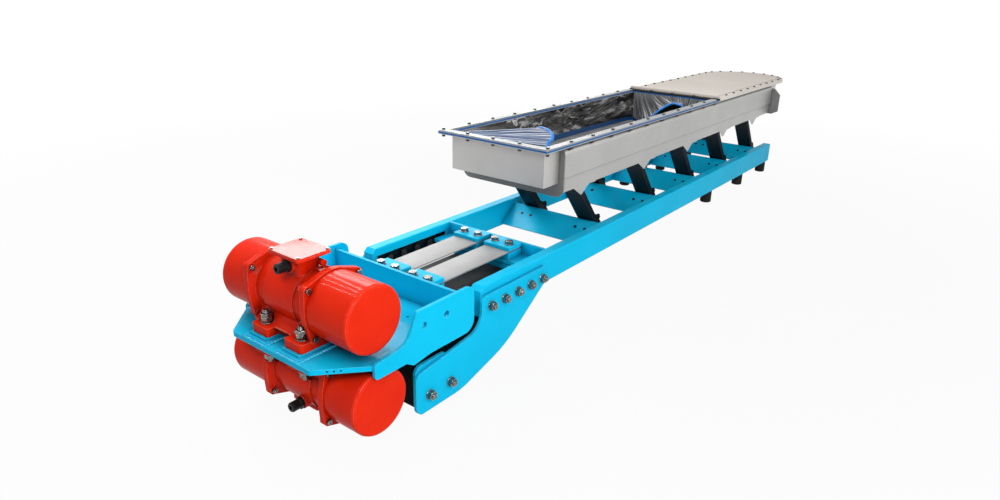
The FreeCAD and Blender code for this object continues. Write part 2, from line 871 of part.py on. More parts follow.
def motor_lugs():
    """Fixing lugs of a flange, each with a web that runs tangent to the flange's rim."""
    lugs = []
    inner = motor_flange_offset - motor_flange_thickness
    root_x = motor_flange_radius * math.cos(lug_reach)
    root_z = motor_flange_radius * math.sin(lug_reach)
    tip_x = lug_circle_radius + lug_radius * math.cos(lug_reach)
    tip_z = lug_radius * math.sin(lug_reach)
    for centre in lug_centres():
        boss = rod(Vector(centre.x, inner - lug_step, centre.z), Y_AXIS, lug_radius,
                   motor_flange_thickness + lug_step)
        turn = math.degrees(math.atan2(centre.z, centre.x))
        web = side_prism([(root_x, -root_z, 0), (tip_x, -tip_z, 0), (tip_x, tip_z, 0), (root_x, root_z, 0)],
                         inner, motor_flange_offset)
        web.rotate(Vector(0, 0, 0), Y_AXIS, -turn)
        lugs += [boss, web]
    return lugs


def make_motor_housing(terminal):
    inner = motor_flange_offset - motor_flange_thickness
    neck = inner - motor_flange_slope
    band = motor_band_width / 2
    band_radius = motor_body_radius + motor_band_height
    outer = turned([(-motor_flange_offset, 0), (-motor_flange_offset, motor_flange_radius),
                    (-inner, motor_flange_radius), (-neck, motor_body_radius), (-band, motor_body_radius),
                    (-band, band_radius), (band, band_radius), (band, motor_body_radius),
                    (neck, motor_body_radius), (inner, motor_flange_radius),
                    (motor_flange_offset, motor_flange_radius), (motor_flange_offset, 0)])
    foot_top = -motor_axis_height + motor_foot_thickness
    half_length = motor_foot_length / 2
    half_width = motor_foot_width / 2
    half_notch = motor_foot_notch_width / 2
    notch_x = half_length - motor_foot_notch_depth
    corner = motor_foot_corner
    edge = motor_foot_notch_edge
    inside = motor_foot_notch_radius
    foot = plan_prism([
        (half_length, half_notch, edge), (half_length, half_width, corner),
        (-half_length, half_width, corner), (-half_length, half_notch, edge),
        (-notch_x, half_notch, inside), (-notch_x, -half_notch, inside), (-half_length, -half_notch, edge),
        (-half_length, -half_width, corner), (half_length, -half_width, corner),
        (half_length, -half_notch, edge), (notch_x, -half_notch, inside), (notch_x, half_notch, inside)],
        -motor_axis_height, foot_top)
    root = motor_pillar_width / 2
    waist = motor_pillar_neck_width / 2
    pillar = side_prism([
        (root, foot_top, 0), (-root, foot_top, 0), (-waist, foot_top, motor_pillar_radius),
        (-waist, 0, 0), (waist, 0, 0), (waist, foot_top, motor_pillar_radius)], -neck, neck)
    shifted = [along_shaft(piece) for piece in [outer, pillar] + both_sides(motor_lugs())]
    body = fused(shifted + [foot] + terminal)
    bore_half = motor_flange_offset - shield_thickness
    bore = turned([(-bore_half, 0), (-bore_half, motor_bore_radius), (bore_half, motor_bore_radius),
                   (bore_half, 0)])
    seats = rod(Vector(0, -motor_flange_offset, 0), Y_AXIS, bearing_radius, 2 * motor_flange_offset)
    tools = [along_shaft(bore), along_shaft(seats)]
    for x, y in stud_places():
        place = Vector(x - along(motor_setback), y, -motor_axis_height)
        tools.append(rod(place, Z_AXIS, motor_stud_radius + clamp_hole_clearance, motor_foot_thickness))
        tools.append(rod(Vector(place.x, y, foot_top), Z_AXIS, spot_face_radius, spot_face_height))
    return cut_all(body, tools)


def terminal_box():
    half = terminal_box_length / 2
    x0 = terminal_box_offset - half
    x1 = terminal_box_offset + half
    width = terminal_box_width / 2
    inset = terminal_neck_inset
    rim_under = terminal_box_height - terminal_rim_height
    rim = plan_prism(rectangle(x0, x1, -width, width, terminal_corner), rim_under, terminal_box_height)
    wires = []
    for gap, z in ((terminal_root_inset, terminal_root), (inset, rim_under + terminal_rim_height / 2)):
        ring = rectangle(x0 + gap, x1 - gap, -width + gap, width - gap, terminal_neck_corner)
        wires.append(rounded_face(ring, lambda p, z=z: Vector(p.x, p.y, z)).OuterWire)
    neck = Part.makeLoft(wires, True, True)
    boss = rod(Vector(x0 + inset - gland_boss_length, gland_side, gland_height), X_AXIS, gland_boss_radius,
               half)
    plug = rod(Vector(terminal_plug_offset, -width + inset - terminal_plug_length, gland_height), Y_AXIS,
               terminal_plug_radius, width)
    return [rim, neck, boss, plug]


def flush_terminal():
    half = flush_lid_length / 2
    width = flush_lid_width / 2
    boss = plan_prism(rectangle(-half, half, -width, width, terminal_corner), terminal_root,
                      flush_lid_height)
    collar = rod(Vector(-low_gland_reach, low_gland_side, low_gland_height), X_AXIS,
                 low_gland_collar_radius, low_gland_collar_length)
    return [boss, collar]


def make_terminal_lid():
    half = terminal_box_length / 2
    width = terminal_box_width / 2
    return plan_prism(rectangle(terminal_box_offset - half, terminal_box_offset + half, -width, width,
                                terminal_corner),
                      terminal_box_height, terminal_box_height + terminal_lid_thickness)


def make_flush_lid():
    half = flush_lid_length / 2
    width = flush_lid_width / 2
    return plan_prism(rectangle(-half, half, -width, width, terminal_corner), flush_lid_height,
                      flush_lid_height + terminal_lid_thickness)


def make_gland(seat):
    forward = X_AXIS * -1
    collar = hexagon(seat, forward, gland_hex_width, gland_hex_length)
    neck = rod(seat, forward, gland_neck_radius, gland_length)
    cap = rod(seat + forward * (gland_hex_length + gland_cap_gap), forward, gland_radius, gland_cap_length)
    bore = rod(seat + forward * (gland_length - gland_bore_depth), forward, gland_bore_radius,
               gland_bore_depth + cut_margin)
    return fused([collar, neck, cap]).cut(bore)


def make_end_cover(face):
    seat = motor_flange_offset
    inner = cover_radius - cover_wall
    shell = turned([(seat, inner), (seat, cover_radius), (face - cover_rim, cover_radius),
                    (face - cover_rim_break, cover_radius - cover_rim_break),
                    (face, cover_radius - cover_rim), (face, 0), (face - cover_wall, 0),
                    (face - cover_wall, inner - cover_rim), (face - cover_rim, inner)])
    return shell


def make_motor_fixings(lid_corners):
    """Bolt heads on the lugs, nuts behind the lugs that stand clear of the feet, and lid screws."""
    heads = []
    seat = motor_flange_offset - motor_flange_thickness - lug_step
    for centre in lug_centres():
        start = Vector(centre.x, motor_flange_offset, centre.z)
        heads.append(hexagon(start, Y_AXIS, lug_bolt_width, lug_bolt_height))
        if centre.z > 0:
            start = Vector(centre.x, seat, centre.z)
            nut = hexagon(start, Y_AXIS * -1, lug_bolt_width, lug_nut_height)
            heads.append(nut.fuse(rod(start, Y_AXIS * -1, lug_bolt_radius, lug_nut_height + lug_bolt_end)))
    heads = [along_shaft(head) for head in both_sides(heads)]
    for corner in lid_corners:
        heads.append(rod(corner, Z_AXIS, lid_screw_radius, lid_screw_height))
    return heads


def lid_screws(offset, length, width, height):
    inset = lid_screw_inset
    corners = []
    for end in (-1, 1):
        for side in (-1, 1):
            corners.append(Vector(offset + end * (length / 2 - inset), side * (width / 2 - inset),
                                  height + terminal_lid_thickness))
    return corners


def make_bearings():
    inner = motor_flange_offset - shield_thickness
    ring = turned([(inner, shaft_radius + running_clearance), (inner, bearing_radius),
                   (motor_flange_offset, bearing_radius),
                   (motor_flange_offset, shaft_radius + running_clearance)])
    return both_sides([ring])


def make_stator():
    inner = rotor_radius + rotor_air_gap
    return turned([(-rotor_half_length, inner), (-rotor_half_length, motor_bore_radius),
                   (rotor_half_length, motor_bore_radius), (rotor_half_length, inner)])


def make_rotor_shaft():
    return turned([(-shaft_half_length, 0), (-shaft_half_length, shaft_radius),
                   (-rotor_half_length, shaft_radius), (-rotor_half_length, rotor_radius),
                   (rotor_half_length, rotor_radius), (rotor_half_length, shaft_radius),
                   (shaft_half_length, shaft_radius), (shaft_half_length, 0)])


def make_weights():
    """Half-disc weights, two on each end of the shaft, heavy side down."""
    weights = []
    for index in range(2):
        start = weight_start + index * (weight_thickness + weight_gap)
        disc = rod(Vector(0, start, 0), Y_AXIS, weight_radius, weight_thickness)
        upper = block(-weight_radius, weight_radius, start, start + weight_thickness, 0, weight_radius)
        hub = rod(Vector(0, start, 0), Y_AXIS, weight_hub_radius, weight_thickness)
        bore = rod(Vector(0, start, 0), Y_AXIS, shaft_radius, weight_thickness)
        weights.append(fused([disc.cut(upper), hub]).cut(bore))
    return both_sides(weights)


def upper_place(shape):
    moved = shape.copy()
    moved.translate(Vector(along(motor_setback), 0, upper_foot + motor_axis_height))
    return moved


def lower_place(shape):
    flipped = shape.copy()
    flipped.rotate(Vector(0, 0, 0), X_AXIS, 180)
    flipped.translate(Vector(along(motor_setback), 0, lower_foot - motor_axis_height))
    return flipped


def lower_rotor_place(shape):
    moved = shape.copy()
    moved.rotate(Vector(0, 0, 0), Z_AXIS, 180)
    moved.translate(Vector(along(motor_setback), 0, lower_foot - motor_axis_height))
    return moved


def add_motor(name, place, rotor_place, terminal, lid, screws, gland_seat):
    far_cover = make_end_cover(motor_half_length + cover_shift - flange_shift)
    near_cover = other_side(make_end_cover(motor_half_length - cover_shift + flange_shift))
    fixed = {
        "motor_housing": [make_motor_housing(terminal)],
        "end_covers": [along_shaft(far_cover), along_shaft(near_cover)],
        "terminal_lid": [lid],
        "cable_gland": [make_gland(gland_seat)],
        "motor_fixings": make_motor_fixings(screws),
        "stator": [along_shaft(make_stator())],
        "bearings": [along_shaft(bearing) for bearing in make_bearings()]}
    turning = {
        "rotor_shaft": [along_shaft(make_rotor_shaft())],
        "eccentric_weights": [along_shaft(weight) for weight in make_weights()]}
    for part, shapes in fixed.items():
        nodes[name + "_" + part] = [place(shape) for shape in shapes]
    for part, shapes in turning.items():
        nodes[name + "_" + part] = [rotor_place(shape) for shape in shapes]


# Trough

def stadium(inset, x_front, z0, z1):
    """Upright prism of the trough's plan, flat in front and round at the discharge end."""
    half = half_flange - inset
    centre = along(discharge_centre)
    start = Vector(along(x_front), -half, z0)
    edges = [Part.makeLine(start, Vector(centre, -half, z0)),
             Part.Arc(Vector(centre, -half, z0), Vector(centre + half, 0, z0),
                      Vector(centre, half, z0)).toShape(),
             Part.makeLine(Vector(centre, half, z0), Vector(along(x_front), half, z0)),
             Part.makeLine(Vector(along(x_front), half, z0), start)]
    return Part.Face(Part.Wire(edges)).extrude(Vector(0, 0, z1 - z0))


def make_trough_pan():
    shell = stadium(flange_width, pan_front, pan_floor, flange_top)
    flange = stadium(0, flange_front, pan_rim, flange_top)
    hollow = stadium(flange_width + pan_sheet, pan_front + pan_sheet, pan_floor + pan_sheet,
                     flange_top + cut_margin)
    outlet = rod(Vector(along(outlet_setback), 0, pan_floor - cut_margin), Z_AXIS, outlet_radius,
                 pan_sheet + 2 * cut_margin)
    return cut_all(fused([shell, flange]), [hollow, outlet])


def make_spigot():
    start = Vector(along(outlet_setback), 0, pan_floor - spigot_length)
    tube = rod(start, Z_AXIS, outlet_radius + spigot_wall, spigot_length)
    return tube.cut(rod(start, Z_AXIS, outlet_radius, spigot_length))


def skirt_outline():
    """Lower edge of the casing, with a pointed tab hanging down at every leg."""
    corners = [(along(casing_front), casing_seam, 0), (along(casing_rear), casing_seam, 0),
               (along(casing_rear), skirt_underside, 0)]
    for station in reversed(leg_stations()):
        tip = along(station - tab_lead)
        under = skirt_underside - tab_drop
        corners.append((tip + tab_rear_reach, skirt_underside, tab_rear_radius))
        corners.append((tip, under, tab_tip_radius))
        corners.append((tip - tab_front_reach, skirt_underside, tab_front_radius))
    corners.append((along(casing_front), skirt_underside, 0))
    return corners


def make_trough_side():
    """Upper panel bent inwards over its top edge to the pan's wall, and a joggled skirt below the seam."""
    x0 = along(casing_front)
    x1 = along(casing_rear)
    outer = half_casing
    inner = half_casing - casing_sheet
    top = pan_rim - casing_top_gap
    section = end_prism([(half_pan, top, 0), (outer, top, casing_bend), (outer, casing_seam, 0),
                         (inner, casing_seam, 0), (inner, top - casing_sheet, casing_bend - casing_sheet),
                         (half_pan, top - casing_sheet, 0)], x0, x1)
    skirt = side_prism(skirt_outline(), inner - casing_joggle, outer - casing_joggle)
    lap = block(x0, x1, inner - casing_joggle, outer, casing_seam, casing_seam + casing_sheet)
    return fused([section, skirt, lap])


def pan_passage(x0, x1):
    return block(x0 - cut_margin, x1 + cut_margin, -half_pan, half_pan, pan_floor, pan_rim + cut_margin)


def make_front_bulkhead():
    x1 = along(casing_front)
    x0 = x1 - front_bulkhead_thickness
    top = pan_rim - casing_top_gap
    low = pan_floor - front_bulkhead_drop
    plate = end_prism([
        (-half_casing, low, front_bulkhead_radius), (half_casing, low, front_bulkhead_radius),
        (half_casing, top, casing_bend), (-half_casing, top, casing_bend)], x0, x1)
    return plate.cut(pan_passage(x0, x1))


def make_rear_bulkhead():
    x0 = along(casing_rear)
    x1 = x0 + rear_bulkhead_thickness
    half = rear_bulkhead_width / 2
    cut = rear_bulkhead_chamfer
    low = pan_floor - rear_bulkhead_drop
    top = pan_floor + rear_bulkhead_rise
    plate = end_prism([
        (-half + cut, low, 0), (half - cut, low, 0), (half, low + cut / 2, 0), (half, top - cut, 0),
        (half - cut, top, 0), (-half + cut, top, 0), (-half, top - cut, 0), (-half, low + cut / 2, 0)],
        x0, x1)
    return plate.cut(pan_passage(x0, x1))


def make_leg_brackets():
    """Inclined cross bars under the floor, one behind the heads of each pair of legs."""
    brackets = []
    half = half_casing - casing_sheet - casing_joggle
    slope = leg_up.x / leg_up.z
    width = bracket_thickness / math.cos(lean)
    for station in leg_stations():
        low = on_leg(station, leg_free_length, leg_pack, 0)
        top_x = low.x + slope * (pan_floor - low.z)
        brackets.append(side_prism([
            (low.x, low.z, 0), (top_x, pan_floor, 0), (top_x + width, pan_floor, 0),
            (low.x + width, low.z, 0)], -half, half))
    return brackets


# Inlet frame, film sleeve and cover

def inlet_ring(overhang, z0, z1):
    outer = block(along(flange_front) - overhang, along(inlet_end), -half_flange - overhang,
                  half_flange + overhang, z0, z1)
    edge = half_pan + sleeve_collar
    inner = block(along(pan_front) - sleeve_collar, along(inlet_end - flange_width), -edge, edge, z0, z1)
    return outer.cut(inner)


def make_inlet_sleeve():
    """Film sleeve hung round the inside of the inlet, narrowing to a hem at its free edge."""
    gap = pan_sheet + sleeve_wall_gap
    x0 = along(pan_front) + gap
    x1 = along(inlet_end - flange_width) - sleeve_collar
    y = half_pan - gap
    top = flange_top + sleeve_film
    low = top - sleeve_depth
    side = sleeve_side_taper
    end = sleeve_end_taper

    def ring(grow):
        wires = []
        for inset_x, inset_y, z in ((0, 0, top), (end, side, low)):
            wires.append(Part.makePolygon([
                Vector(x0 + inset_x - grow, -y + inset_y - grow, z),
                Vector(x1 - inset_x + grow, -y + inset_y - grow, z),
                Vector(x1 - inset_x + grow, y - inset_y + grow, z),
                Vector(x0 + inset_x - grow, y - inset_y + grow, z),
                Vector(x0 + inset_x - grow, -y + inset_y - grow, z)]))
        return Part.makeLoft(wires, True, True)

    wall = ring(0).cut(ring(-sleeve_film))
    collar_edge = half_pan + sleeve_collar
    collar = block(along(pan_front) - sleeve_collar, x1 + sleeve_collar, -collar_edge, collar_edge,
                   flange_top, top).cut(block(x0, x1, -y, y, flange_top, top))
    hem_outer = block(x0 + end - hem_thickness, x1 - end + hem_thickness, -y + side - hem_thickness,
                      y - side + hem_thickness, low - hem_height, low)
    hem_inner = block(x0 + end + sleeve_film, x1 - end - sleeve_film, -y + side + sleeve_film,
                      y - side - sleeve_film, low - hem_height, low)
    return fused([wall, collar, hem_outer.cut(hem_inner)])


def make_cover_frame():
    outer = stadium(0, cover_start, flange_top, cover_frame_top)
    return outer.cut(stadium(cover_frame_width, cover_start, flange_top, cover_frame_top))


def make_cover_plate():
    sheet = stadium(0, cover_start, cover_frame_top, cover_frame_top + cover_sheet)
    panel = stadium(cover_panel_inset, cover_start + cover_panel_inset, cover_frame_top + cover_sheet,
                    cover_frame_top + cover_sheet + cover_panel_rise)
    return fused([sheet, panel])


def seal_strip():
    return block(along(inlet_end - flange_width), along(inlet_end), -half_flange, half_flange, gasket_top,
                 clamp_frame_top)


def make_clamp_frame():
    """Flat frame over the front and the sides of the inlet."""
    return inlet_ring(0, gasket_top, clamp_frame_top).cut(seal_strip())


def make_cover_seal():
    """Rubber strip across the rear of the inlet, with a lip under the cover's front bar."""
    lip = block(along(inlet_end), along(cover_start), -half_flange, half_flange, flange_top,
                flange_top + cover_seal_height)
    return fused([lip, seal_strip()])


def make_cover_bar():
    half = half_flange + cover_bar_overhang
    return block(along(inlet_end), along(cover_start), -half, half, flange_top + cover_seal_height,
                 flange_top + cover_bar_height)


def spread(first, last, pitch):
    count = max(1, round((last - first) / pitch))
    return [first + (last - first) * index / count for index in range(count + 1)]


def make_flange_bolts():
    middle = half_flange - inlet_bolt_edge
    front = along(flange_front) + inlet_bolt_end_gap
    back = along(inlet_end) - inlet_bolt_end_gap
    tops = [(x, y) for x in spread(front, back, inlet_bolt_pitch) for y in (-middle, middle)]
    cross = 2 * middle / (inlet_cross_bolts - 1)
    inner_sides = [-middle + cross * index for index in range(1, inlet_cross_bolts - 1)]
    heads = []
    for x, y in tops + [(front, y) for y in inner_sides]:
        heads.append(hexagon(Vector(x, y, clamp_frame_top), Z_AXIS, flange_bolt_width, flange_bolt_height))
        heads.append(hexagon(Vector(x, y, pan_rim), Z_AXIS * -1, flange_bolt_width, flange_nut_height))
    for y in inner_sides:
        heads.append(hexagon(Vector(back, y, clamp_frame_top), Z_AXIS, flange_bolt_width,
                             flange_bolt_height))
    rim = half_flange - cover_frame_width / 2
    places = [(x, y) for x in spread(along(cover_start) + inlet_bolt_end_gap, along(discharge_centre),
                                     cover_bolt_pitch) for y in (-rim, rim)]
    for index in range(1, cover_arc_bolts + 1):
        turn = math.pi * index / (cover_arc_bolts + 1) - math.pi / 2
        places.append((along(discharge_centre) + rim * math.cos(turn), rim * math.sin(turn)))
    for x, y in places:
        heads.append(hexagon(Vector(x, y, cover_frame_top + cover_sheet), Z_AXIS, flange_bolt_width,
                             flange_bolt_height))
    return heads


def build():
    rail = make_rail()
    nodes["rail_far"] = [rail]
    nodes["rail_near"] = [other_side(rail)]
    nodes["spring_cross_plate"] = [make_cross_plate()]
    for number, station in enumerate(leg_stations(), 1):
        nodes["leg_cross_member_%d" % number] = [make_cross_member(station)]
    plate = make_side_plate()
    nodes["side_plate_far"] = [plate]
    nodes["side_plate_near"] = [other_side(plate)]
    nodes["ballast_beam"] = [make_ballast_beam()]
    nodes["beam_end_plates"] = both_sides([make_beam_end()])
    nodes["frame_bolts"] = make_side_plate_bolts() + make_clamp_bolts(rear_bolt_setback)
    nodes["rubber_feet"] = both_sides([make_foot(setback) for setback in foot_setbacks()])
    nodes["rear_spring_clamps"] = make_spring_clamps(rear_clamp_start, rear_clamp_length, rear_bolt_setback)
    nodes["leg_foot_clamps"] = make_leg_clamps(-leg_foot_overlap + leg_clamp_margin, -leg_clamp_margin,
                                               leg_pack, 1)
    nodes["drive_springs_upper"] = make_drive_springs(upper_spring_under)
    nodes["drive_springs_lower"] = make_drive_springs(lower_spring_top - drive_spring_thickness)
    leaves = make_leg_springs()
    nodes["leg_springs_far"] = leaves
    nodes["leg_springs_near"] = [other_side(leaf) for leaf in leaves]

    side = make_exciter_side()
    nodes["exciter_side_far"] = [side]
    nodes["exciter_side_near"] = [other_side(side)]
    nodes["motor_plate"] = [make_motor_plate()]
    nodes["exciter_spring_shelf"] = [make_exciter_shelf()]
    nodes["front_spring_clamps"] = make_spring_clamps(front_clamp_start, front_clamp_length,
                                                      front_bolt_setback)
    nodes["exciter_bolts"] = make_clamp_bolts(front_bolt_setback) + make_motor_studs()
    box_front = terminal_box_offset - terminal_box_length / 2 + terminal_neck_inset - gland_boss_length
    add_motor("upper", upper_place, upper_place, terminal_box(), make_terminal_lid(),
              lid_screws(terminal_box_offset, terminal_box_length, terminal_box_width, terminal_box_height),
              Vector(box_front, gland_side, gland_height))
    add_motor("lower", lower_place, lower_rotor_place, flush_terminal(), make_flush_lid(),
              lid_screws(0, flush_lid_length, flush_lid_width, flush_lid_height),
              Vector(-low_gland_reach, low_gland_side, low_gland_height))

    nodes["trough_pan"] = [make_trough_pan()]
    nodes["discharge_spigot"] = [make_spigot()]
    casing = make_trough_side()
    nodes["trough_side_far"] = [casing]
    nodes["trough_side_near"] = [other_side(casing)]
    nodes["front_bulkhead"] = [make_front_bulkhead()]
    nodes["rear_bulkhead"] = [make_rear_bulkhead()]
    nodes["leg_brackets"] = make_leg_brackets()
    nodes["leg_head_clamps"] = make_leg_clamps(leg_free_length + leg_clamp_margin,
                                               leg_rise - leg_clamp_margin, 0, -1)
    nodes["inlet_gasket"] = [inlet_ring(gasket_overhang, flange_top, gasket_top)]
    nodes["inlet_clamp_frame"] = [make_clamp_frame()]
    nodes["inlet_sleeve"] = [make_inlet_sleeve()]
    nodes["cover_frame"] = [make_cover_frame()]
    nodes["cover_plate"] = [make_cover_plate()]
    nodes["cover_seal"] = [make_cover_seal()]
    nodes["cover_front_bar"] = [make_cover_bar()]
    nodes["flange_bolts"] = make_flange_bolts()


def save():
    os.makedirs("parts", exist_ok=True)
    for name, shapes in nodes.items():
        shape = shapes[0] if len(shapes) == 1 else Part.makeCompound(shapes)
        shape.exportStep("parts/%s.step" % name)
    print("nodes", len(nodes))


build()
save()
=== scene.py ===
import math
import bmesh
import bpy
from mathutils import Matrix, Vector, noise


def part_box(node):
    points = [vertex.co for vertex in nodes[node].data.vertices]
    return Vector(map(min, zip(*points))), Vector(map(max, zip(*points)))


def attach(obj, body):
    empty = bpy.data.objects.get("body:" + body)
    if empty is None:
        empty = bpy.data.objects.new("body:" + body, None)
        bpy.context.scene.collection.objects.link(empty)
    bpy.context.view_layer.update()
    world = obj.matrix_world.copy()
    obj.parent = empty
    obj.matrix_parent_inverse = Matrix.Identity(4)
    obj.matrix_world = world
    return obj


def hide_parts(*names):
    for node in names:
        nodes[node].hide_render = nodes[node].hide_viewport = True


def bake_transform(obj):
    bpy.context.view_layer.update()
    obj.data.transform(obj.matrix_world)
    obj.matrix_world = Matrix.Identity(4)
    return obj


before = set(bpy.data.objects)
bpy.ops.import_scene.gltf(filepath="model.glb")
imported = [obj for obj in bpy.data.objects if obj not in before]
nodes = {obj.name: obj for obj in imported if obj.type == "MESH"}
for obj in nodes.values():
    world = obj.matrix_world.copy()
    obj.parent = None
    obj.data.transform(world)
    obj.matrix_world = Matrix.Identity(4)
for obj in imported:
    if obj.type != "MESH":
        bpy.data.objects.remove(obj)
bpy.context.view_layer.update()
scene = bpy.context.scene
scene.view_settings.view_transform = "Standard"
print("frame:", len(nodes), "nodes")

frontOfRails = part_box("rail_near")[0][0]  # lengths below run back from here


# camera

cameraSpec = {
    "turn": (1.783, -0.868, 0.633),  # world to camera, as one turn vector
    "place": (-3.4405, -1.7617, 1.2318),
    "lens": 25.14, "sensor": 36, "reach": 60,
    "shift": (-0.0117, -0.0088),
}


def placeCamera(spec):
    turn = Vector(spec["turn"])
    rows = Matrix.Rotation(turn.length, 3, turn.normalized())
    sight = Matrix((rows[0], -rows[1], -rows[2])).transposed().to_4x4()
    sight.translation = Vector(spec["place"])
    camera = bpy.data.objects.new("camera", bpy.data.cameras.new("camera"))
    scene.collection.objects.link(camera)
    camera.matrix_world = sight
    camera.data.sensor_width = spec["sensor"]
    camera.data.lens = spec["lens"]
    camera.data.shift_x, camera.data.shift_y = spec["shift"]
    camera.data.clip_end = spec["reach"]
    scene.camera = camera


placeCamera(cameraSpec)
print("camera set")


# node helpers

def feed(tree, socket, value):
    if isinstance(value, bpy.types.NodeSocket):
        tree.links.new(value, socket)
    else:
        socket.default_value = value


def addNode(tree, kind, settings=None, **inputs):
    made = tree.nodes.new("ShaderNode" + kind)
    for key, value in (settings or {}).items():
        setattr(made, key, value)
    for key, value in inputs.items():
        feed(tree, made.inputs[key.replace("_", " ")], value)
    return made


def mathValue(tree, operation, *values):
    made = addNode(tree, "Math", {"operation": operation})
    for socket, value in zip(made.inputs, values):
        feed(tree, socket, value)
    return made.outputs[0]


def spreadValue(tree, value, span, to=(0.0, 1.0)):
    made = addNode(tree, "MapRange", Value=value, From_Min=span[0], From_Max=span[1],
                   To_Min=to[0], To_Max=to[1])
    return made.outputs[0]


def mixColours(tree, share, first, second):
    mix = addNode(tree, "Mix", {"data_type": "RGBA"})
    for index, value in ((0, share), (6, first), (7, second)):  # the colour sockets are 6 and 7
        feed(tree, mix.inputs[index], (*value, 1) if isinstance(value, tuple) else value)
    return mix.outputs[2]


# floor, world and lamps

stageSpec = {
    "floorHeight": -0.215,
    "floorSize": 60.0,
    "floorColour": (0.40, 0.40, 0.40, 1),
    "floorGlow": (0.94, 1.0),  # share of plain white in the floor, near the machine and far from it
    "glowReach": (1.5, 5.5),
    "white": (1, 1, 1, 1),
    "skyLight": 0.16,
    "lamps": {  # place, aim, width and height, power, spread
        "key": ((-2.6, -4.2, 2.1), (-1.5, 0, 0.2), (3.4, 3.2), 178, 180),
        "front": ((-4.6, -1.6, 3.2), (-1.0, 0, 0.3), (1.1, 1.1), 58, 180),
        "fill": ((2.6, -4.4, 2.6), (0.6, 0, 0.4), (2.6, 1.6), 38, 180),
        "top": ((-0.6, 0.6, 4.4), (-0.5, 0, 0.2), (4.5, 0.9), 16, 180),
        "overCover": ((0.9, 0.2, 3.4), (0.9, 0, 0.6), (1.2, 0.5), 0.95, 60),
        "back": ((0.1, 2.8, 2.2), (-2.2, 0, 0.4), (1.3, 0.9), 15.5, 110),
        "backWide": ((2.8, 3.4, 1.7), (-0.5, 0, 0.3), (3.0, 1.2), 50, 180),
        "stripOne": ((-2.5, 2.0, 2.7), (-2.3, 1.4, 0), (0.08, 1.8), 9.0, 110),
        "stripTwo": ((-1.9, 2.0, 2.7), (-2.0, 1.4, 0), (0.08, 1.8), 9.0, 110),
        "stripThree": ((-1.2, 2.2, 2.7), (-1.6, 1.6, 0), (0.20, 1.8), 16.5, 110),
    },
}


def whiteToLens(tree):
    # 1 for rays from the lens, straight or by way of metal and glass
    path = addNode(tree, "LightPath").outputs
    share = path["Is Camera Ray"]
    for ray in ("Is Glossy Ray", "Is Transmission Ray"):
        share = mathValue(tree, "MAXIMUM", share, path[ray])
    return share


def joinShaders(tree, outKind, share, first, second):
    mixed = addNode(tree, "MixShader", Fac=share)
    tree.links.new(first.outputs[0], mixed.inputs[1])
    tree.links.new(second.outputs[0], mixed.inputs[2])
    tree.links.new(mixed.outputs[0], addNode(tree, outKind).inputs[0])


def dressStage(spec):
    mesh = bpy.data.meshes.new("floor")
    half = spec["floorSize"] / 2
    z = spec["floorHeight"]
    corners = [(-half, -half, z), (half, -half, z), (half, half, z), (-half, half, z)]
    mesh.from_pydata(corners, [], [(0, 1, 2, 3)])
    floor = bpy.data.objects.new("floor", mesh)
    scene.collection.objects.link(floor)
    finish = bpy.data.materials.new("paleFloor")
    finish.use_nodes = True
    tree = finish.node_tree
    tree.nodes.clear()
    lit = addNode(tree, "BsdfDiffuse", Color=spec["floorColour"])
    glow = addNode(tree, "Emission", Color=spec["white"], Strength=1.0)
    place = addNode(tree, "TexCoord").outputs["Object"]
    reach = addNode(tree, "VectorMath", {"operation": "LENGTH"}, Vector=place).outputs["Value"]
    share = spreadValue(tree, reach, spec["glowReach"], spec["floorGlow"])
    share = mathValue(tree, "MULTIPLY", whiteToLens(tree), share)
    joinShaders(tree, "OutputMaterial", share, lit, glow)
    mesh.materials.append(finish)

    world = bpy.data.worlds.new("studio")
    scene.world = world
    world.use_nodes = True
    tree = world.node_tree
    tree.nodes.clear()
    sky = addNode(tree, "Background", Color=spec["white"], Strength=spec["skyLight"])
    seen = addNode(tree, "Background", Color=spec["white"], Strength=1.0)
    joinShaders(tree, "OutputWorld", whiteToLens(tree), sky, seen)

    for name, (place, aim, size, power, spread) in spec["lamps"].items():
        light = bpy.data.lights.new(name, "AREA")
        light.shape = "RECTANGLE"
        light.size, light.size_y = size
        light.energy = power
        light.spread = math.radians(spread)
        lamp = bpy.data.objects.new(name, light)
        scene.collection.objects.link(lamp)
        lamp.location = place
        sight = Vector(aim) - Vector(place)
        lamp.rotation_euler = sight.to_track_quat("-Z", "Y").to_euler()


dressStage(stageSpec)
print("stage lit")


# finishes: a noise is its scale and detail, a span is what is spread from nothing to all

surfaceSpec = {"samples": 4, "edge": (0.995, 0.9), "hollow": (0.35, 0.85), "upward": (0.55, 0.95),
               "smudge": (0.3, 0.7), "noiseRough": 0.55}
paintKind = {"cloudDetail": 4, "cloud": (0.3, 0.7), "wearAndHighlightNoise": (60, 4), "wearAndHighlightSpan": (0.35, 0.75),
             "leastWearAndHighlight": 0.1, "dustNoise": (9, 5), "dust": (0.4, 0.8), "smudgeNoise": (14, 5),
             "peelDetail": 2, "peelDepth": 0.0006, "coatRough": 0.07}
metalKind = {"cloudDetail": 4, "cloud": (0.3, 0.7), "lineDetail": 2, "lineRough": 0.6,
             "lines": (0.35, 0.65), "smudgeNoise": (6, 6), "grainDepth": 0.0003, "shine": 0.5}
mattKind = {"cloudDetail": 5, "cloud": (0.3, 0.75), "smudgeNoise": (20, 5),
            "grainDetail": 3, "grainRough": 0.6, "grainDepth": 0.0005}


def mottle(tree, place, scale, detail, rough=surfaceSpec["noiseRough"], stretch=None):
    if stretch:
        place = addNode(tree, "Mapping", Vector=place, Scale=stretch).outputs[0]
    made = addNode(tree, "TexNoise", Vector=place, Scale=scale, Detail=detail, Roughness=rough)
    return made.outputs[0]
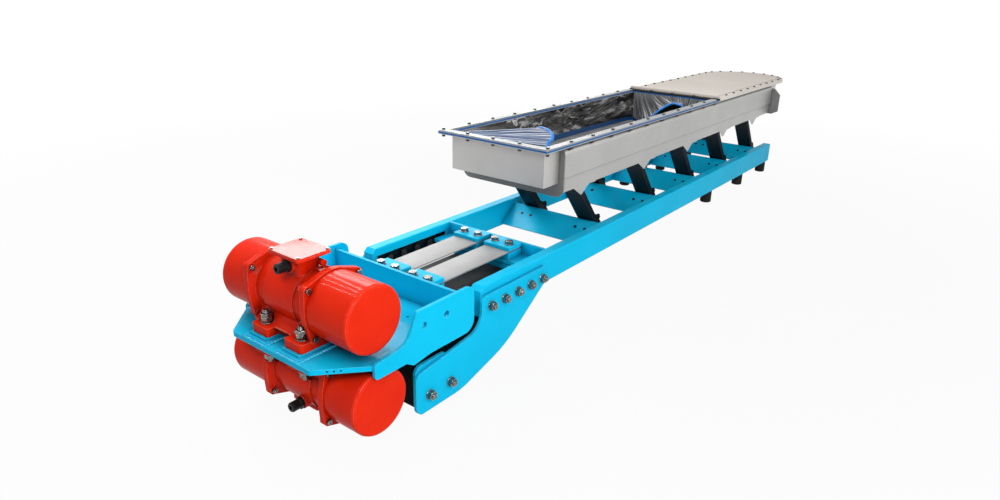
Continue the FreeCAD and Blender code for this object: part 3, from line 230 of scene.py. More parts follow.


# the share of rounded edges, where a lighter colour is laid as a painted highlight
def edgeShare(tree, radius):
    rounded = addNode(tree, "Bevel", {"samples": surfaceSpec["samples"]}, Radius=radius).outputs[0]
    facing = addNode(tree, "VectorMath", {"operation": "DOT_PRODUCT"})
    tree.links.new(rounded, facing.inputs[0])
    tree.links.new(addNode(tree, "NewGeometry").outputs["Normal"], facing.inputs[1])
    return spreadValue(tree, facing.outputs["Value"], surfaceSpec["edge"]), rounded


def upwardShare(tree):
    normal = addNode(tree, "NewGeometry").outputs["Normal"]
    parts = addNode(tree, "SeparateXYZ", Vector=normal)
    return spreadValue(tree, parts.outputs["Z"], surfaceSpec["upward"])


def startFinish(name):
    finish = bpy.data.materials.new(name)
    finish.use_nodes = True
    tree = finish.node_tree
    shader = tree.nodes["Principled BSDF"]
    place = addNode(tree, "TexCoord").outputs["Object"]
    return finish, tree, shader, place


def cloudTint(tree, place, spec, kind):
    cloud = mottle(tree, place, spec["cloudScale"], kind["cloudDetail"])
    return mixColours(tree, spreadValue(tree, cloud, kind["cloud"]), spec["deep"], spec["body"])


# painted shade: colours are darkened towards a shade colour in hollows, corners and between parts, by
# ambient occlusion
def paintedShadeTint(tree, tint, spec):
    hollow = addNode(tree, "AmbientOcclusion", {"samples": surfaceSpec["samples"]},
                     Distance=spec["paintedShadeReach"]).outputs["AO"]
    share = spreadValue(tree, hollow, surfaceSpec["hollow"], (1.0, 0.0))
    return mixColours(tree, mathValue(tree, "MULTIPLY", share, spec["paintedShade"]), tint, spec["paintedShadeColour"])


def smudge(tree, shader, place, spec, smudgeNoise):
    rough = spreadValue(tree, mottle(tree, place, *smudgeNoise), surfaceSpec["smudge"], spec["rough"])
    tree.links.new(rough, shader.inputs["Roughness"])


def relief(tree, shader, **settings):
    bump = addNode(tree, "Bump", **settings).outputs[0]
    tree.links.new(bump, shader.inputs["Normal"])
    return bump


def insideTube(tree, place, spec):
    parts = addNode(tree, "SeparateXYZ", Vector=place).outputs
    outward = mathValue(tree, "ABSOLUTE", parts["Y"])
    share = 1.0
    for value, key in ((parts["X"], "along"), (outward, "across"), (parts["Z"], "height")):
        low, high = spec[key]
        within = mathValue(tree, "COMPARE", value, (low + high) / 2, (high - low) / 2)
        share = mathValue(tree, "MULTIPLY", within, share)
    return share


def glossPaint(name, spec, kind=paintKind):
    finish, tree, shader, place = startFinish(name)
    tint = cloudTint(tree, place, spec, kind)
    edge, rounded = edgeShare(tree, spec["edge"])
    # painted edge highlight, made patchy by a wear noise
    wearAndHighlight = spreadValue(tree, mottle(tree, place, *kind["wearAndHighlightNoise"]), kind["wearAndHighlightSpan"],
                       (kind["leastWearAndHighlight"], spec["edgeWearAndHighlight"]))
    tint = mixColours(tree, mathValue(tree, "MULTIPLY", edge, wearAndHighlight), tint, spec["edgeHighlightColour"])
    dust = spreadValue(tree, mottle(tree, place, *kind["dustNoise"]), kind["dust"], (0, spec["dust"]))
    tint = mixColours(tree, mathValue(tree, "MULTIPLY", upwardShare(tree), dust), tint, spec["dustColour"])
    tint = paintedShadeTint(tree, tint, spec)
    # painted shade inside the rail tubes
    if "tube" in spec:
        tint = mixColours(tree, insideTube(tree, place, spec["tube"]), tint, spec["tubeShadeColour"])
    tree.links.new(tint, shader.inputs["Base Color"])
    smudge(tree, shader, place, spec, kind["smudgeNoise"])
    peel = relief(tree, shader, Height=mottle(tree, place, spec["peelScale"], kind["peelDetail"]),
                  Normal=rounded, Strength=spec["peel"], Distance=kind["peelDepth"])
    tree.links.new(peel, shader.inputs["Coat Normal"])
    shader.inputs["Specular IOR Level"].default_value = spec["shine"]
    shader.inputs["Coat Weight"].default_value = spec["coat"]
    shader.inputs["Coat Roughness"].default_value = kind["coatRough"]
    return finish


def bareMetal(name, spec, kind=metalKind):
    finish, tree, shader, place = startFinish(name)
    tint = cloudTint(tree, place, spec, kind)
    lines = mottle(tree, place, spec["brushScale"], kind["lineDetail"], kind["lineRough"], spec["brush"])
    drawn = spreadValue(tree, lines, kind["lines"], (0, spec["brushShare"]))
    tint = mixColours(tree, drawn, tint, spec["line"])
    # painted highlight on the edges
    edge, rounded = edgeShare(tree, spec["edge"])
    tint = mixColours(tree, edge, tint, spec["edgeHighlightColour"])
    tree.links.new(paintedShadeTint(tree, tint, spec), shader.inputs["Base Color"])
    shader.inputs["Metallic"].default_value = spec["metal"]
    shader.inputs["Specular IOR Level"].default_value = spec.get("shine", kind["shine"])
    smudge(tree, shader, place, spec, kind["smudgeNoise"])
    relief(tree, shader, Height=lines, Normal=rounded, Strength=spec["grain"], Distance=kind["grainDepth"])
    return finish


def mattSolid(name, spec, kind=mattKind):
    finish, tree, shader, place = startFinish(name)
    tint = cloudTint(tree, place, spec, kind)
    # painted highlight on the edges
    edge, rounded = edgeShare(tree, spec["edge"])
    tint = mixColours(tree, edge, tint, spec["edgeHighlightColour"])
    # painted shade: the low colour below the given heights, blending to the own colour above them
    if "low" in spec:
        height = addNode(tree, "SeparateXYZ", Vector=place).outputs["Z"]
        tint = mixColours(tree, spreadValue(tree, height, spec["lowHeights"]), spec["low"], tint)
    tree.links.new(tint, shader.inputs["Base Color"])
    smudge(tree, shader, place, spec, kind["smudgeNoise"])
    grain = mottle(tree, place, spec["grainScale"], kind["grainDetail"], kind["grainRough"],
                   spec.get("stretch"))
    relief(tree, shader, Height=grain, Normal=rounded, Strength=spec["grain"], Distance=kind["grainDepth"])
    shader.inputs["Specular IOR Level"].default_value = spec["shine"]
    return finish


blueSpec = {
    "body": (0.003, 0.55, 0.86), "deep": (0.002, 0.49, 0.79), "cloudScale": 2.5,
    "edge": 0.0026, "edgeHighlightColour": (0.30, 0.82, 1.0), "edgeWearAndHighlight": 0.8,
    "dust": 0.10, "dustColour": (0.30, 0.66, 0.80), "rough": (0.28, 0.4), "shine": 0.02, "coat": 0.06,
    "paintedShade": 0.8, "paintedShadeReach": 0.055, "paintedShadeColour": (0.001, 0.07, 0.16),
    "peelScale": 420, "peel": 0.05}
tubeSpec = {  # painted shade: the inside of both rails is darkened
    "along": (frontOfRails + 0.020, frontOfRails + 3.1),
    "across": (0.2655, 0.3055), "height": (0.0755, 0.1845)}
weldLook = {"edge": 0.004, "edgeWearAndHighlight": 1.0, "paintedShade": 0.3, "shine": 0.4, "coat": 0.5}
bluePaint = glossPaint("bluePaint", blueSpec)
railPaint = glossPaint("railPaint", dict(blueSpec, tube=tubeSpec, tubeShadeColour=(0.001, 0.012, 0.02)))
weldPaint = glossPaint("weldPaint", dict(blueSpec, **weldLook))
redSpec = {
    "body": (0.83, 0.027, 0.003), "deep": (0.73, 0.016, 0.002), "cloudScale": 5,
    "edge": 0.0030, "edgeHighlightColour": (1.0, 0.38, 0.28), "edgeWearAndHighlight": 0.85,
    "dust": 0.04, "dustColour": (0.85, 0.25, 0.2), "rough": (0.25, 0.35), "shine": 0.015, "coat": 0.12,
    "paintedShade": 0.80, "paintedShadeReach": 0.055, "paintedShadeColour": (0.13, 0.001, 0.001),
    "peelScale": 240, "peel": 0.05}
redPaint = glossPaint("redPaint", redSpec)
lidPaint = glossPaint("lidPaint", dict(redSpec, shine=0.05, coat=0.24))
darkPaint = glossPaint("darkPaint", {
    "body": (0.006, 0.012, 0.018), "deep": (0.003, 0.007, 0.010), "cloudScale": 4,
    "edge": 0.0020, "edgeHighlightColour": (0.04, 0.08, 0.11), "edgeWearAndHighlight": 0.7,
    "dust": 0.03, "dustColour": (0.05, 0.07, 0.08), "rough": (0.40, 0.6), "shine": 0.02, "coat": 0.0,
    "paintedShade": 0.5, "paintedShadeReach": 0.03, "paintedShadeColour": (0.002, 0.003, 0.004),
    "peelScale": 420, "peel": 0.08})
satinSpec = {
    "body": (0.51, 0.507, 0.494), "deep": (0.42, 0.418, 0.408), "cloudScale": 1.8,
    "brush": (1.5, 60, 60), "brushScale": 14, "brushShare": 0.30, "line": (0.37, 0.37, 0.365),
    "edge": 0.0018, "edgeHighlightColour": (0.80, 0.80, 0.79), "metal": 0.75, "rough": (0.36, 0.54),
    "grain": 0.10, "paintedShade": 0.75, "paintedShadeReach": 0.025, "paintedShadeColour": (0.10, 0.10, 0.095)}
satinSteel = bareMetal("satinSteel", satinSpec)
# a lighter copy of the satin steel: painted light on the trough pan
litPanSteel = bareMetal("litPanSteel", dict(satinSpec, body=(0.60, 0.592, 0.572), deep=(0.50, 0.494, 0.478)))
# a darker copy of the satin steel: painted shade on the inlet clamp frame
shadedRimSteel = bareMetal("shadedRimSteel", dict(satinSpec, body=(0.38, 0.40, 0.41), deep=(0.30, 0.32, 0.33)))
# painted shade: the bulkheads get a darker steel for the shade they stand in
shadedBulkheadSteel = bareMetal("shadedBulkheadSteel", {
    "body": (0.24, 0.24, 0.235), "deep": (0.18, 0.18, 0.178), "cloudScale": 3,
    "brush": (60, 60, 1.5), "brushScale": 14, "brushShare": 0.3, "line": (0.14, 0.14, 0.14),
    "edge": 0.0020, "edgeHighlightColour": (0.55, 0.55, 0.54), "metal": 0.6, "rough": (0.42, 0.6),
    "grain": 0.10, "paintedShade": 0.6, "paintedShadeReach": 0.03, "paintedShadeColour": (0.04, 0.04, 0.04)})
coverSteel = bareMetal("coverSteel", {
    "body": (0.90, 0.835, 0.765), "deep": (0.80, 0.73, 0.66), "cloudScale": 1.4,
    "brush": (1.5, 60, 60), "brushScale": 12, "brushShare": 0.15, "line": (0.66, 0.63, 0.60),
    "edge": 0.0016, "edgeHighlightColour": (0.80, 0.79, 0.77), "metal": 0.08, "rough": (0.56, 0.70), "shine": 0.15,
    "grain": 0.08, "paintedShade": 0.7, "paintedShadeReach": 0.02, "paintedShadeColour": (0.14, 0.13, 0.12)})
springSteel = bareMetal("springSteel", {
    "body": (0.40, 0.40, 0.395), "deep": (0.33, 0.332, 0.335), "cloudScale": 7,
    "brush": (2, 90, 90), "brushScale": 10, "brushShare": 0.45, "line": (0.28, 0.28, 0.28),
    "edge": 0.0012, "edgeHighlightColour": (0.72, 0.72, 0.72), "metal": 0.25, "rough": (0.5, 0.68),
    "grain": 0.12, "paintedShade": 0.8, "paintedShadeReach": 0.02, "paintedShadeColour": (0.06, 0.05, 0.045)})
# painted shade: a near black steel for parts that stand in shade, the lower drive springs and the inner bolt
# heads
shadowDarkSteel = bareMetal("shadowDarkSteel", {
    "body": (0.05, 0.05, 0.05), "deep": (0.02, 0.022, 0.024), "cloudScale": 7,
    "brush": (2, 90, 90), "brushScale": 10, "brushShare": 0.3, "line": (0.02, 0.02, 0.02),
    "edge": 0.0012, "edgeHighlightColour": (0.2, 0.2, 0.2), "metal": 0.6, "rough": (0.45, 0.6),
    "grain": 0.12, "paintedShade": 0.6, "paintedShadeReach": 0.02, "paintedShadeColour": (0.01, 0.01, 0.01)})
zincPlate = bareMetal("zincPlate", {
    "body": (0.32, 0.32, 0.31), "deep": (0.06, 0.06, 0.058), "cloudScale": 60,
    "brush": (1, 1, 1), "brushScale": 160, "brushShare": 0.4, "line": (0.12, 0.12, 0.115),
    "edge": 0.0010, "edgeHighlightColour": (0.90, 0.90, 0.88), "metal": 0.9, "rough": (0.14, 0.28),
    "grain": 0.10, "paintedShade": 0.95, "paintedShadeReach": 0.012, "paintedShadeColour": (0.012, 0.012, 0.012)})
# a darker zinc for the flange bolts, partly painted shade for the nuts under the flange
darkZinc = bareMetal("darkZinc", {
    "body": (0.10, 0.10, 0.097), "deep": (0.03, 0.03, 0.03), "cloudScale": 60,
    "brush": (1, 1, 1), "brushScale": 160, "brushShare": 0.4, "line": (0.04, 0.04, 0.04),
    "edge": 0.0008, "edgeHighlightColour": (0.55, 0.55, 0.54), "metal": 0.8, "rough": (0.2, 0.36),
    "grain": 0.10, "paintedShade": 0.9, "paintedShadeReach": 0.010, "paintedShadeColour": (0.01, 0.01, 0.01)})
groundSteel = bareMetal("groundSteel", {
    "body": (0.62, 0.62, 0.63), "deep": (0.45, 0.45, 0.46), "cloudScale": 12,
    "brush": (60, 2, 60), "brushScale": 9, "brushShare": 0.3, "line": (0.35, 0.35, 0.36),
    "edge": 0.0008, "edgeHighlightColour": (0.8, 0.8, 0.8), "metal": 1.0, "rough": (0.22, 0.36),
    "grain": 0.08, "paintedShade": 0.5, "paintedShadeReach": 0.02, "paintedShadeColour": (0.05, 0.04, 0.03)})
windingPack = bareMetal("windingPack", {
    "body": (0.34, 0.22, 0.13), "deep": (0.20, 0.17, 0.15), "cloudScale": 14,
    "brush": (2, 300, 2), "brushScale": 3, "brushShare": 0.6, "line": (0.08, 0.07, 0.06),
    "edge": 0.0010, "edgeHighlightColour": (0.5, 0.36, 0.24), "metal": 0.5, "rough": (0.45, 0.65),
    "grain": 0.3, "paintedShade": 0.5, "paintedShadeReach": 0.02, "paintedShadeColour": (0.04, 0.03, 0.02)})
leafFibre = mattSolid("leafFibre", {
    "body": (0.008, 0.014, 0.020), "deep": (0.003, 0.006, 0.009), "cloudScale": 6,
    "edge": 0.0010, "edgeHighlightColour": (0.06, 0.08, 0.09), "rough": (0.34, 0.5), "shine": 0.12,
    "grainScale": 40, "stretch": (3, 60, 3), "grain": 0.12})
blackRubber = mattSolid("blackRubber", {
    "body": (0.012, 0.012, 0.012), "deep": (0.006, 0.006, 0.006), "cloudScale": 18,
    "edge": 0.0020, "edgeHighlightColour": (0.05, 0.05, 0.05), "rough": (0.55, 0.75), "shine": 0.15,
    "grainScale": 500, "grain": 0.2})
blackPlastic = mattSolid("blackPlastic", {
    "body": (0.010, 0.010, 0.011), "deep": (0.005, 0.005, 0.006), "cloudScale": 30,
    "edge": 0.0012, "edgeHighlightColour": (0.08, 0.08, 0.08), "rough": (0.24, 0.36), "shine": 0.15,
    "grainScale": 700, "grain": 0.1})
blueGasket = mattSolid("blueGasket", {
    "body": (0.006, 0.13, 0.40), "deep": (0.004, 0.09, 0.30), "cloudScale": 10,
    "edge": 0.0015, "edgeHighlightColour": (0.02, 0.22, 0.55), "rough": (0.35, 0.5), "shine": 0.25,
    "grainScale": 600, "grain": 0.1})
# painted shade: the hem's low runs turn dark navy
hemTape = mattSolid("hemTape", {
    "body": (0.004, 0.27, 0.82), "deep": (0.003, 0.20, 0.68), "cloudScale": 12,
    "edge": 0.0015, "edgeHighlightColour": (0.04, 0.42, 0.92), "rough": (0.30, 0.45), "shine": 0.3,
    "grainScale": 600, "grain": 0.1, "low": (0.002, 0.045, 0.15), "lowHeights": (0.50, 0.54)})
# painted shadow: a dark bead under each casing lap
lapShadowDark = mattSolid("lapShadowDark", {
    "body": (0.055, 0.055, 0.052), "deep": (0.03, 0.03, 0.03), "cloudScale": 30,
    "edge": 0.0008, "edgeHighlightColour": (0.10, 0.10, 0.10), "rough": (0.5, 0.7), "shine": 0.25,
    "grainScale": 400, "grain": 0.2})


def ofBothMotors(*parts):
    return [motor + part for motor in ("upper_", "lower_") for part in parts]


finishOf = [
    (railPaint, ["rail_near", "rail_far"]),
    (bluePaint, ["spring_cross_plate", "side_plate_near", "side_plate_far", "beam_end_plates",
                 "rear_spring_clamps", "exciter_side_near", "exciter_side_far", "motor_plate",
                 "exciter_spring_shelf", "front_spring_clamps"]),
    (bluePaint, ["leg_cross_member_%d" % number for number in range(1, 6)]),
    # painted shade: the ballast beam is near black for the shade under the exciter
    (darkPaint, ["ballast_beam", "leg_foot_clamps", "leg_head_clamps"]),
    (redPaint, ofBothMotors("motor_housing", "end_covers")),
    (lidPaint, ofBothMotors("terminal_lid")),
    (blackPlastic, ofBothMotors("cable_gland")),
    (zincPlate, ["frame_bolts", "exciter_bolts"] + ofBothMotors("motor_fixings")),
    (darkZinc, ["flange_bolts"]),
    (windingPack, ofBothMotors("stator")),
    (groundSteel, ofBothMotors("bearings", "rotor_shaft", "eccentric_weights")),
    (satinSteel, ["discharge_spigot", "trough_side_near", "trough_side_far", "leg_brackets"]),
    (litPanSteel, ["trough_pan"]),
    (shadedRimSteel, ["inlet_clamp_frame"]),
    (coverSteel, ["cover_frame", "cover_plate", "cover_front_bar"]),
    (shadedBulkheadSteel, ["front_bulkhead", "rear_bulkhead"]),
    (blackRubber, ["rubber_feet", "cover_seal"]),
    (blueGasket, ["inlet_gasket"]),
]

for finish, names in finishOf:
    for name in names:
        materials = nodes[name].data.materials
        materials.clear()
        materials.append(finish)
print("finishes on", sum(len(names) for finish, names in finishOf), "nodes")


# mesh helpers

def newPiece(name, shape, finish, smoothAngle=None, turnOut=True):
    if turnOut:
        bmesh.ops.recalc_face_normals(shape, faces=shape.faces)
    mesh = bpy.data.meshes.new(name)
    shape.to_mesh(mesh)
    shape.free()
    if smoothAngle:
        mesh.polygons.foreach_set("use_smooth", [True] * len(mesh.polygons))
        mesh.set_sharp_from_angle(angle=math.radians(smoothAngle))
    mesh.materials.append(finish)
    piece = bpy.data.objects.new(name, mesh)
    scene.collection.objects.link(piece)
    return piece


def skin(shape, sections, closed=False):
    rings = [[shape.verts.new(point) for point in section] for section in sections]
    count = len(rings[0])
    pairs = list(zip(rings, rings[1:]))
    if closed:
        pairs.append((rings[-1], rings[0]))
    for first, second in pairs:
        for index in range(count):
            after = (index + 1) % count
            shape.faces.new((first[index], first[after], second[after], second[index]))
    if not closed:
        shape.faces.new(list(reversed(rings[0])))
        shape.faces.new(rings[-1])


def roundedBar(width, thickness, radius, steps):
    corners = []
    for sideU, sideV, start in ((1, 1, 0), (-1, 1, 90), (-1, -1, 180), (1, -1, 270)):
        for step in range(steps + 1):
            turn = math.radians(start + 90 * step / steps)
            corners.append((sideU * (width / 2 - radius) + radius * math.cos(turn),
                            sideV * (thickness / 2 - radius) + radius * math.sin(turn)))
    return corners


def turned(shape, start, axis, rings, turn=0.0):
    # one solid about an axis; each ring is an advance and its radii all round
    axis = axis.normalized()
    first = axis.orthogonal().normalized()
    second = axis.cross(first)
    sections = []
    for advance, radii in rings:
        section = []
        for index, radius in enumerate(radii):
            angle = turn + 2 * math.pi * index / len(radii)
            out = first * math.cos(angle) + second * math.sin(angle)
            reach = advance[index] if isinstance(advance, list) else advance
            section.append(start + axis * reach + out * radius)
        sections.append(section)
    skin(shape, sections)


# leaf-spring legs

legSpec = {
    "lean": 39.0, "stations": (0.967, 1.557, 2.077, 2.597, 3.117), "ridge": 0.173,
    "side": 0.156, "width": 0.092, "leaf": 0.006, "gap": 0.005, "count": 3,
    "foot": 0.096, "free": 0.270, "head": 0.052, "edge": 0.0012, "edgeSteps": 2, "steps": 24, "smooth": 35,
}


def makeLegs(spec):
    lean = math.radians(spec["lean"])
    up = Vector((-math.sin(lean), 0, math.cos(lean)))
    out = Vector((math.cos(lean), 0, math.sin(lean)))
    across = Vector((0, 1, 0))
    outline = roundedBar(spec["width"], spec["leaf"], spec["edge"], spec["edgeSteps"])
    length = spec["foot"] + spec["free"] + spec["head"]
    for side, end, node in ((-1, "Near", "leg_springs_near"), (1, "Far", "leg_springs_far")):
        shape = bmesh.new()
        for station in spec["stations"]:
            ridge = Vector((frontOfRails + station, side * spec["side"], spec["ridge"]))
            for index in range(spec["count"]):
                middle = ridge + out * (index * (spec["leaf"] + spec["gap"]) + spec["leaf"] / 2)
                sections = []
                for step in range(spec["steps"] + 1):
                    rise = -spec["foot"] + length * step / spec["steps"]
                    sections.append([middle + up * rise + across * u + out * v for u, v in outline])
                skin(shape, sections)
        legs = newPiece("legLeaves" + end, shape, leafFibre, spec["smooth"])
        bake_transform(legs)
        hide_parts(node)


makeLegs(legSpec)
print("legs made")


# flat drive springs

driveSpec = {
    "front": -0.120, "rear": 0.457, "frontClampEnd": -0.020, "rearClampStart": 0.373,
    "side": 0.085, "width": 0.124, "thickness": 0.008, "upper": 0.173, "lower": 0.090,
    "edge": 0.0015, "edgeSteps": 2, "steps": 36, "smooth": 35,
}


def makeDriveSprings(spec):
    outline = roundedBar(spec["width"], spec["thickness"], spec["edge"], spec["edgeSteps"])
    length = spec["rear"] - spec["front"]
    # the lower springs are near black as painted shade
    for level, node, finish in (("upper", "drive_springs_upper", springSteel),
                                ("lower", "drive_springs_lower", shadowDarkSteel)):
        shape = bmesh.new()
        for side in (-1, 1):
            y, z = side * spec["side"], spec[level]
            sections = []
            for step in range(spec["steps"] + 1):
                x = frontOfRails + spec["front"] + length * step / spec["steps"]
                sections.append([Vector((x, y + u, z + v)) for u, v in outline])
            skin(shape, sections)
        springs = newPiece("driveSprings" + level.capitalize(), shape, finish, spec["smooth"])
        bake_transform(springs)
        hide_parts(node)


makeDriveSprings(driveSpec)
print("drive springs made")


# bolts, washers and nuts of the frame and of the exciter

roundSpec = {"points": 28, "washerEase": 0.2}
hexSpec = {"points": 36, "chamfer": 30, "flatShare": 0.99}
threadSpec = {"pitch": 0.0025, "sink": 0.002, "root": 0.9, "tip": 0.82}  # root and tip: shares of the radius
fixingSpec = {
    "railPlaces": [0.046 + 0.082 * number for number in range(5)], "railHeight": 0.108,
    "beamPlaces": (-0.285, -0.180), "beamHeight": -0.106, "seat": 0.322, "headSeat": 0.305,
    "nut": 0.030, "nutHeight": 0.017, "headHeight": 0.013, "washer": 0.0185, "washerThickness": 0.003,
    "bolt": 0.010, "boltEnd": 0.007,
    "clampRear": 0.412, "clampFront": -0.079, "clampSides": (-0.123, -0.047, 0.047, 0.123),
    "clampTop": 0.193, "clampUnder": 0.070,
    "studs": [(-0.505 + end * 0.107, side * 0.091) for end in (-1, 1) for side in (-1, 1)],
    "studTop": 0.164, "studUnder": 0.065, "stud": 0.011, "studNut": 0.034, "studNutHeight": 0.018,
    "studLock": 0.0126, "studWasher": 0.0205, "studEnd": 0.012, "smooth": 30,
    # how each hexagon stands: the turn of the first one, and more for each next one
    "turns": {"rail": (0.3, 2.1), "railHead": (0.0, 0.7), "clampHead": (0.4, 1.7), "clampNut": (0.9, 1.3),
              "stud": (0.2, 1.1), "studLock": (0.8, 0.6)},
}


def evenRing(radius):
    return [radius] * roundSpec["points"]


def washer(shape, start, axis, radius, thickness):
    ease = thickness * roundSpec["washerEase"]
    turned(shape, start, axis, [(0, evenRing(radius)), (thickness - ease, evenRing(radius)),
                                (thickness, evenRing(radius - ease))])


def hexNut(shape, start, axis, width, height, turn, bothEnds=True):
    # the corners of the hexagon are turned off at the chamfer's angle
    count = hexSpec["points"]
    flat = width / 2
    full = []
    for index in range(count):
        angle = math.radians((360 * index / count) % 60 - 30)
        full.append(flat / math.cos(angle))
    inner = [min(radius, flat * hexSpec["flatShare"]) for radius in full]
    slope = math.tan(math.radians(hexSpec["chamfer"]))
    drop = [(radius - short) * slope for radius, short in zip(full, inner)]
    low = [share if bothEnds else 0.0 for share in drop]
    turned(shape, start, axis, [(0, inner if bothEnds else full), (low, full),
                                ([height - share for share in drop], full), (height, inner)], turn)


def threadEnd(shape, start, axis, radius, length):
    # starts a little inside the nut
    start = start - axis * threadSpec["sink"]
    length = length + threadSpec["sink"]
    pitch, root = threadSpec["pitch"], radius * threadSpec["root"]
    rings = [(0, evenRing(root))]
    for index in range(max(int(length / pitch) - 1, 1)):
        rings.append(((index + 0.25) * pitch, evenRing(radius)))
        rings.append(((index + 0.75) * pitch, evenRing(root)))
    rings.append((length, evenRing(radius * threadSpec["tip"])))
    turned(shape, start, axis, rings)


def turnOf(spec, row, index):
    first, more = spec["turns"][row]
    return first + more * index


def nutStack(shape, start, axis, spec, turn):
    washer(shape, start, axis, spec["washer"], spec["washerThickness"])
    seat = start + axis * spec["washerThickness"]
    hexNut(shape, seat, axis, spec["nut"], spec["nutHeight"], turn)
    threadEnd(shape, seat + axis * spec["nutHeight"], axis, spec["bolt"], spec["boltEnd"])


def clampBolts(shape, place, spec):
    up = Vector((0, 0, 1))
    for index, y in enumerate(spec["clampSides"]):
        top = Vector((frontOfRails + place, y, spec["clampTop"]))
        washer(shape, top, up, spec["washer"], spec["washerThickness"])
        hexNut(shape, top + up * spec["washerThickness"], up, spec["nut"], spec["headHeight"],
               turnOf(spec, "clampHead", index), False)
        under = Vector((top.x, y, spec["clampUnder"]))
        nutStack(shape, under, -up, spec, turnOf(spec, "clampNut", index))


def studStack(shape, seat, axis, spec, index):
    washer(shape, seat, axis, spec["studWasher"], spec["washerThickness"])
    seat = seat + axis * spec["washerThickness"]
    hexNut(shape, seat, axis, spec["studNut"], spec["studNutHeight"], turnOf(spec, "stud", index))
    seat = seat + axis * spec["studNutHeight"]
    hexNut(shape, seat, axis, spec["studNut"], spec["studLock"], turnOf(spec, "studLock", index))
    threadEnd(shape, seat + axis * spec["studLock"], axis, spec["stud"], spec["studEnd"])


def makeFixings(spec):
    frameShape = bmesh.new()
    headShape = bmesh.new()
    railRow = [(place, spec["railHeight"]) for place in spec["railPlaces"]]
    beamRow = [(place, spec["beamHeight"]) for place in spec["beamPlaces"]]
    for side in (-1, 1):
        out = Vector((0, side, 0))
        for index, (place, height) in enumerate(railRow + beamRow):
            start = Vector((frontOfRails + place, side * spec["seat"], height))
            nutStack(frameShape, start, out, spec, turnOf(spec, "rail", index))
            if index < len(railRow):
                head = Vector((start.x, side * spec["headSeat"], height))
                hexNut(headShape, head, -out, spec["nut"], spec["headHeight"],
                       turnOf(spec, "railHead", index), False)
    clampBolts(frameShape, spec["clampRear"], spec)
    exciterShape = bmesh.new()
    clampBolts(exciterShape, spec["clampFront"], spec)
    for index, (place, y) in enumerate(spec["studs"]):
        for side, face in ((1, spec["studTop"]), (-1, spec["studUnder"])):
            seat = Vector((frontOfRails + place, y, face))
            studStack(exciterShape, seat, Vector((0, 0, side)), spec, index)
    for shape, name, node, body in ((frameShape, "frameFixings", "frame_bolts", "base"),
                                    (exciterShape, "exciterFixings", "exciter_bolts", "exciter")):
        piece = newPiece(name, shape, zincPlate, spec["smooth"])
        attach(piece, body)
        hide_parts(node)
    # the inner bolt heads are near black as painted shade
    heads = newPiece("railBoltHeads", headShape, shadowDarkSteel, spec["smooth"])
    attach(heads, "base")


makeFixings(fixingSpec)
print("fixings made")


# dark beads under the lap of each casing panel as painted shadow, and plugs in the cross members

lapShadowBeadSpec = {"start": 0.584, "end": 3.176, "inner": 0.267, "outer": 0.2708, "low": 0.4656, "high": 0.4693}
plugSpec = {"down": 0.057, "sink": 0.001, "radius": 0.0083, "length": 0.003, "pitch": 0.053, "smooth": 30}


def makeLapShadowBeads(spec):
    shape = bmesh.new()
    for side in (-1, 1):
        inner, outer = side * spec["inner"], side * spec["outer"]
        outline = ((inner, spec["low"]), (outer, spec["high"]), (inner, spec["high"]))
        ends = (frontOfRails + spec["start"], frontOfRails + spec["end"])
        skin(shape, [[Vector((x, y, z)) for y, z in outline] for x in ends])
    beads = newPiece("lapShadowBeads", shape, lapShadowDark)
    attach(beads, "trough")


def makePlugs(spec, legs):
    lean = math.radians(legs["lean"])
    up = Vector((-math.sin(lean), 0, math.cos(lean)))
    back = Vector((math.cos(lean), 0, math.sin(lean)))
    shape = bmesh.new()
    for station in legs["stations"]:
        for side in (-1, 1):
            for half in (-0.5, 0.5):
                y = side * legs["side"] + half * spec["pitch"]
                ridge = Vector((frontOfRails + station, y, legs["ridge"]))
                face = ridge - back * spec["down"] - up * spec["sink"]
                turned(shape, face - up * spec["length"], up,
                       [(0, evenRing(spec["radius"])), (spec["length"], evenRing(spec["radius"]))])
    plugs = newPiece("holePlugs", shape, blackPlastic, spec["smooth"])
    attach(plugs, "base")


makeLapShadowBeads(lapShadowBeadSpec)
makePlugs(plugSpec, legSpec)
print("beads and plugs made")


# weld beads round the pads under the upper motor

weldSpec = {
    "front": -0.668, "rear": -0.342, "inner": 0.030, "outer": 0.141, "height": 0.119,
    "corner": 0.003, "cornerSteps": 3, "radius": 0.0058, "pitch": 0.0115, "pitchSteps": 4,
    "ripple": 0.55, "sides": 10, "smooth": 60,
}


def evenLoop(points, pitch, steps):
    # the same closed run with even points, a whole number of steps in each pitch
    ends = points[1:] + points[:1]
    lengths = [(after - before).length for before, after in zip(points, ends)]
    count = steps * round(sum(lengths) / (pitch / steps) / steps)
    loop, index, passed = [], 0, 0.0
    for step in range(count):
        distance = sum(lengths) * step / count
        while distance > passed + lengths[index]:
            passed += lengths[index]
            index += 1
        loop.append(points[index].lerp(ends[index], (distance - passed) / lengths[index]))
    return loop


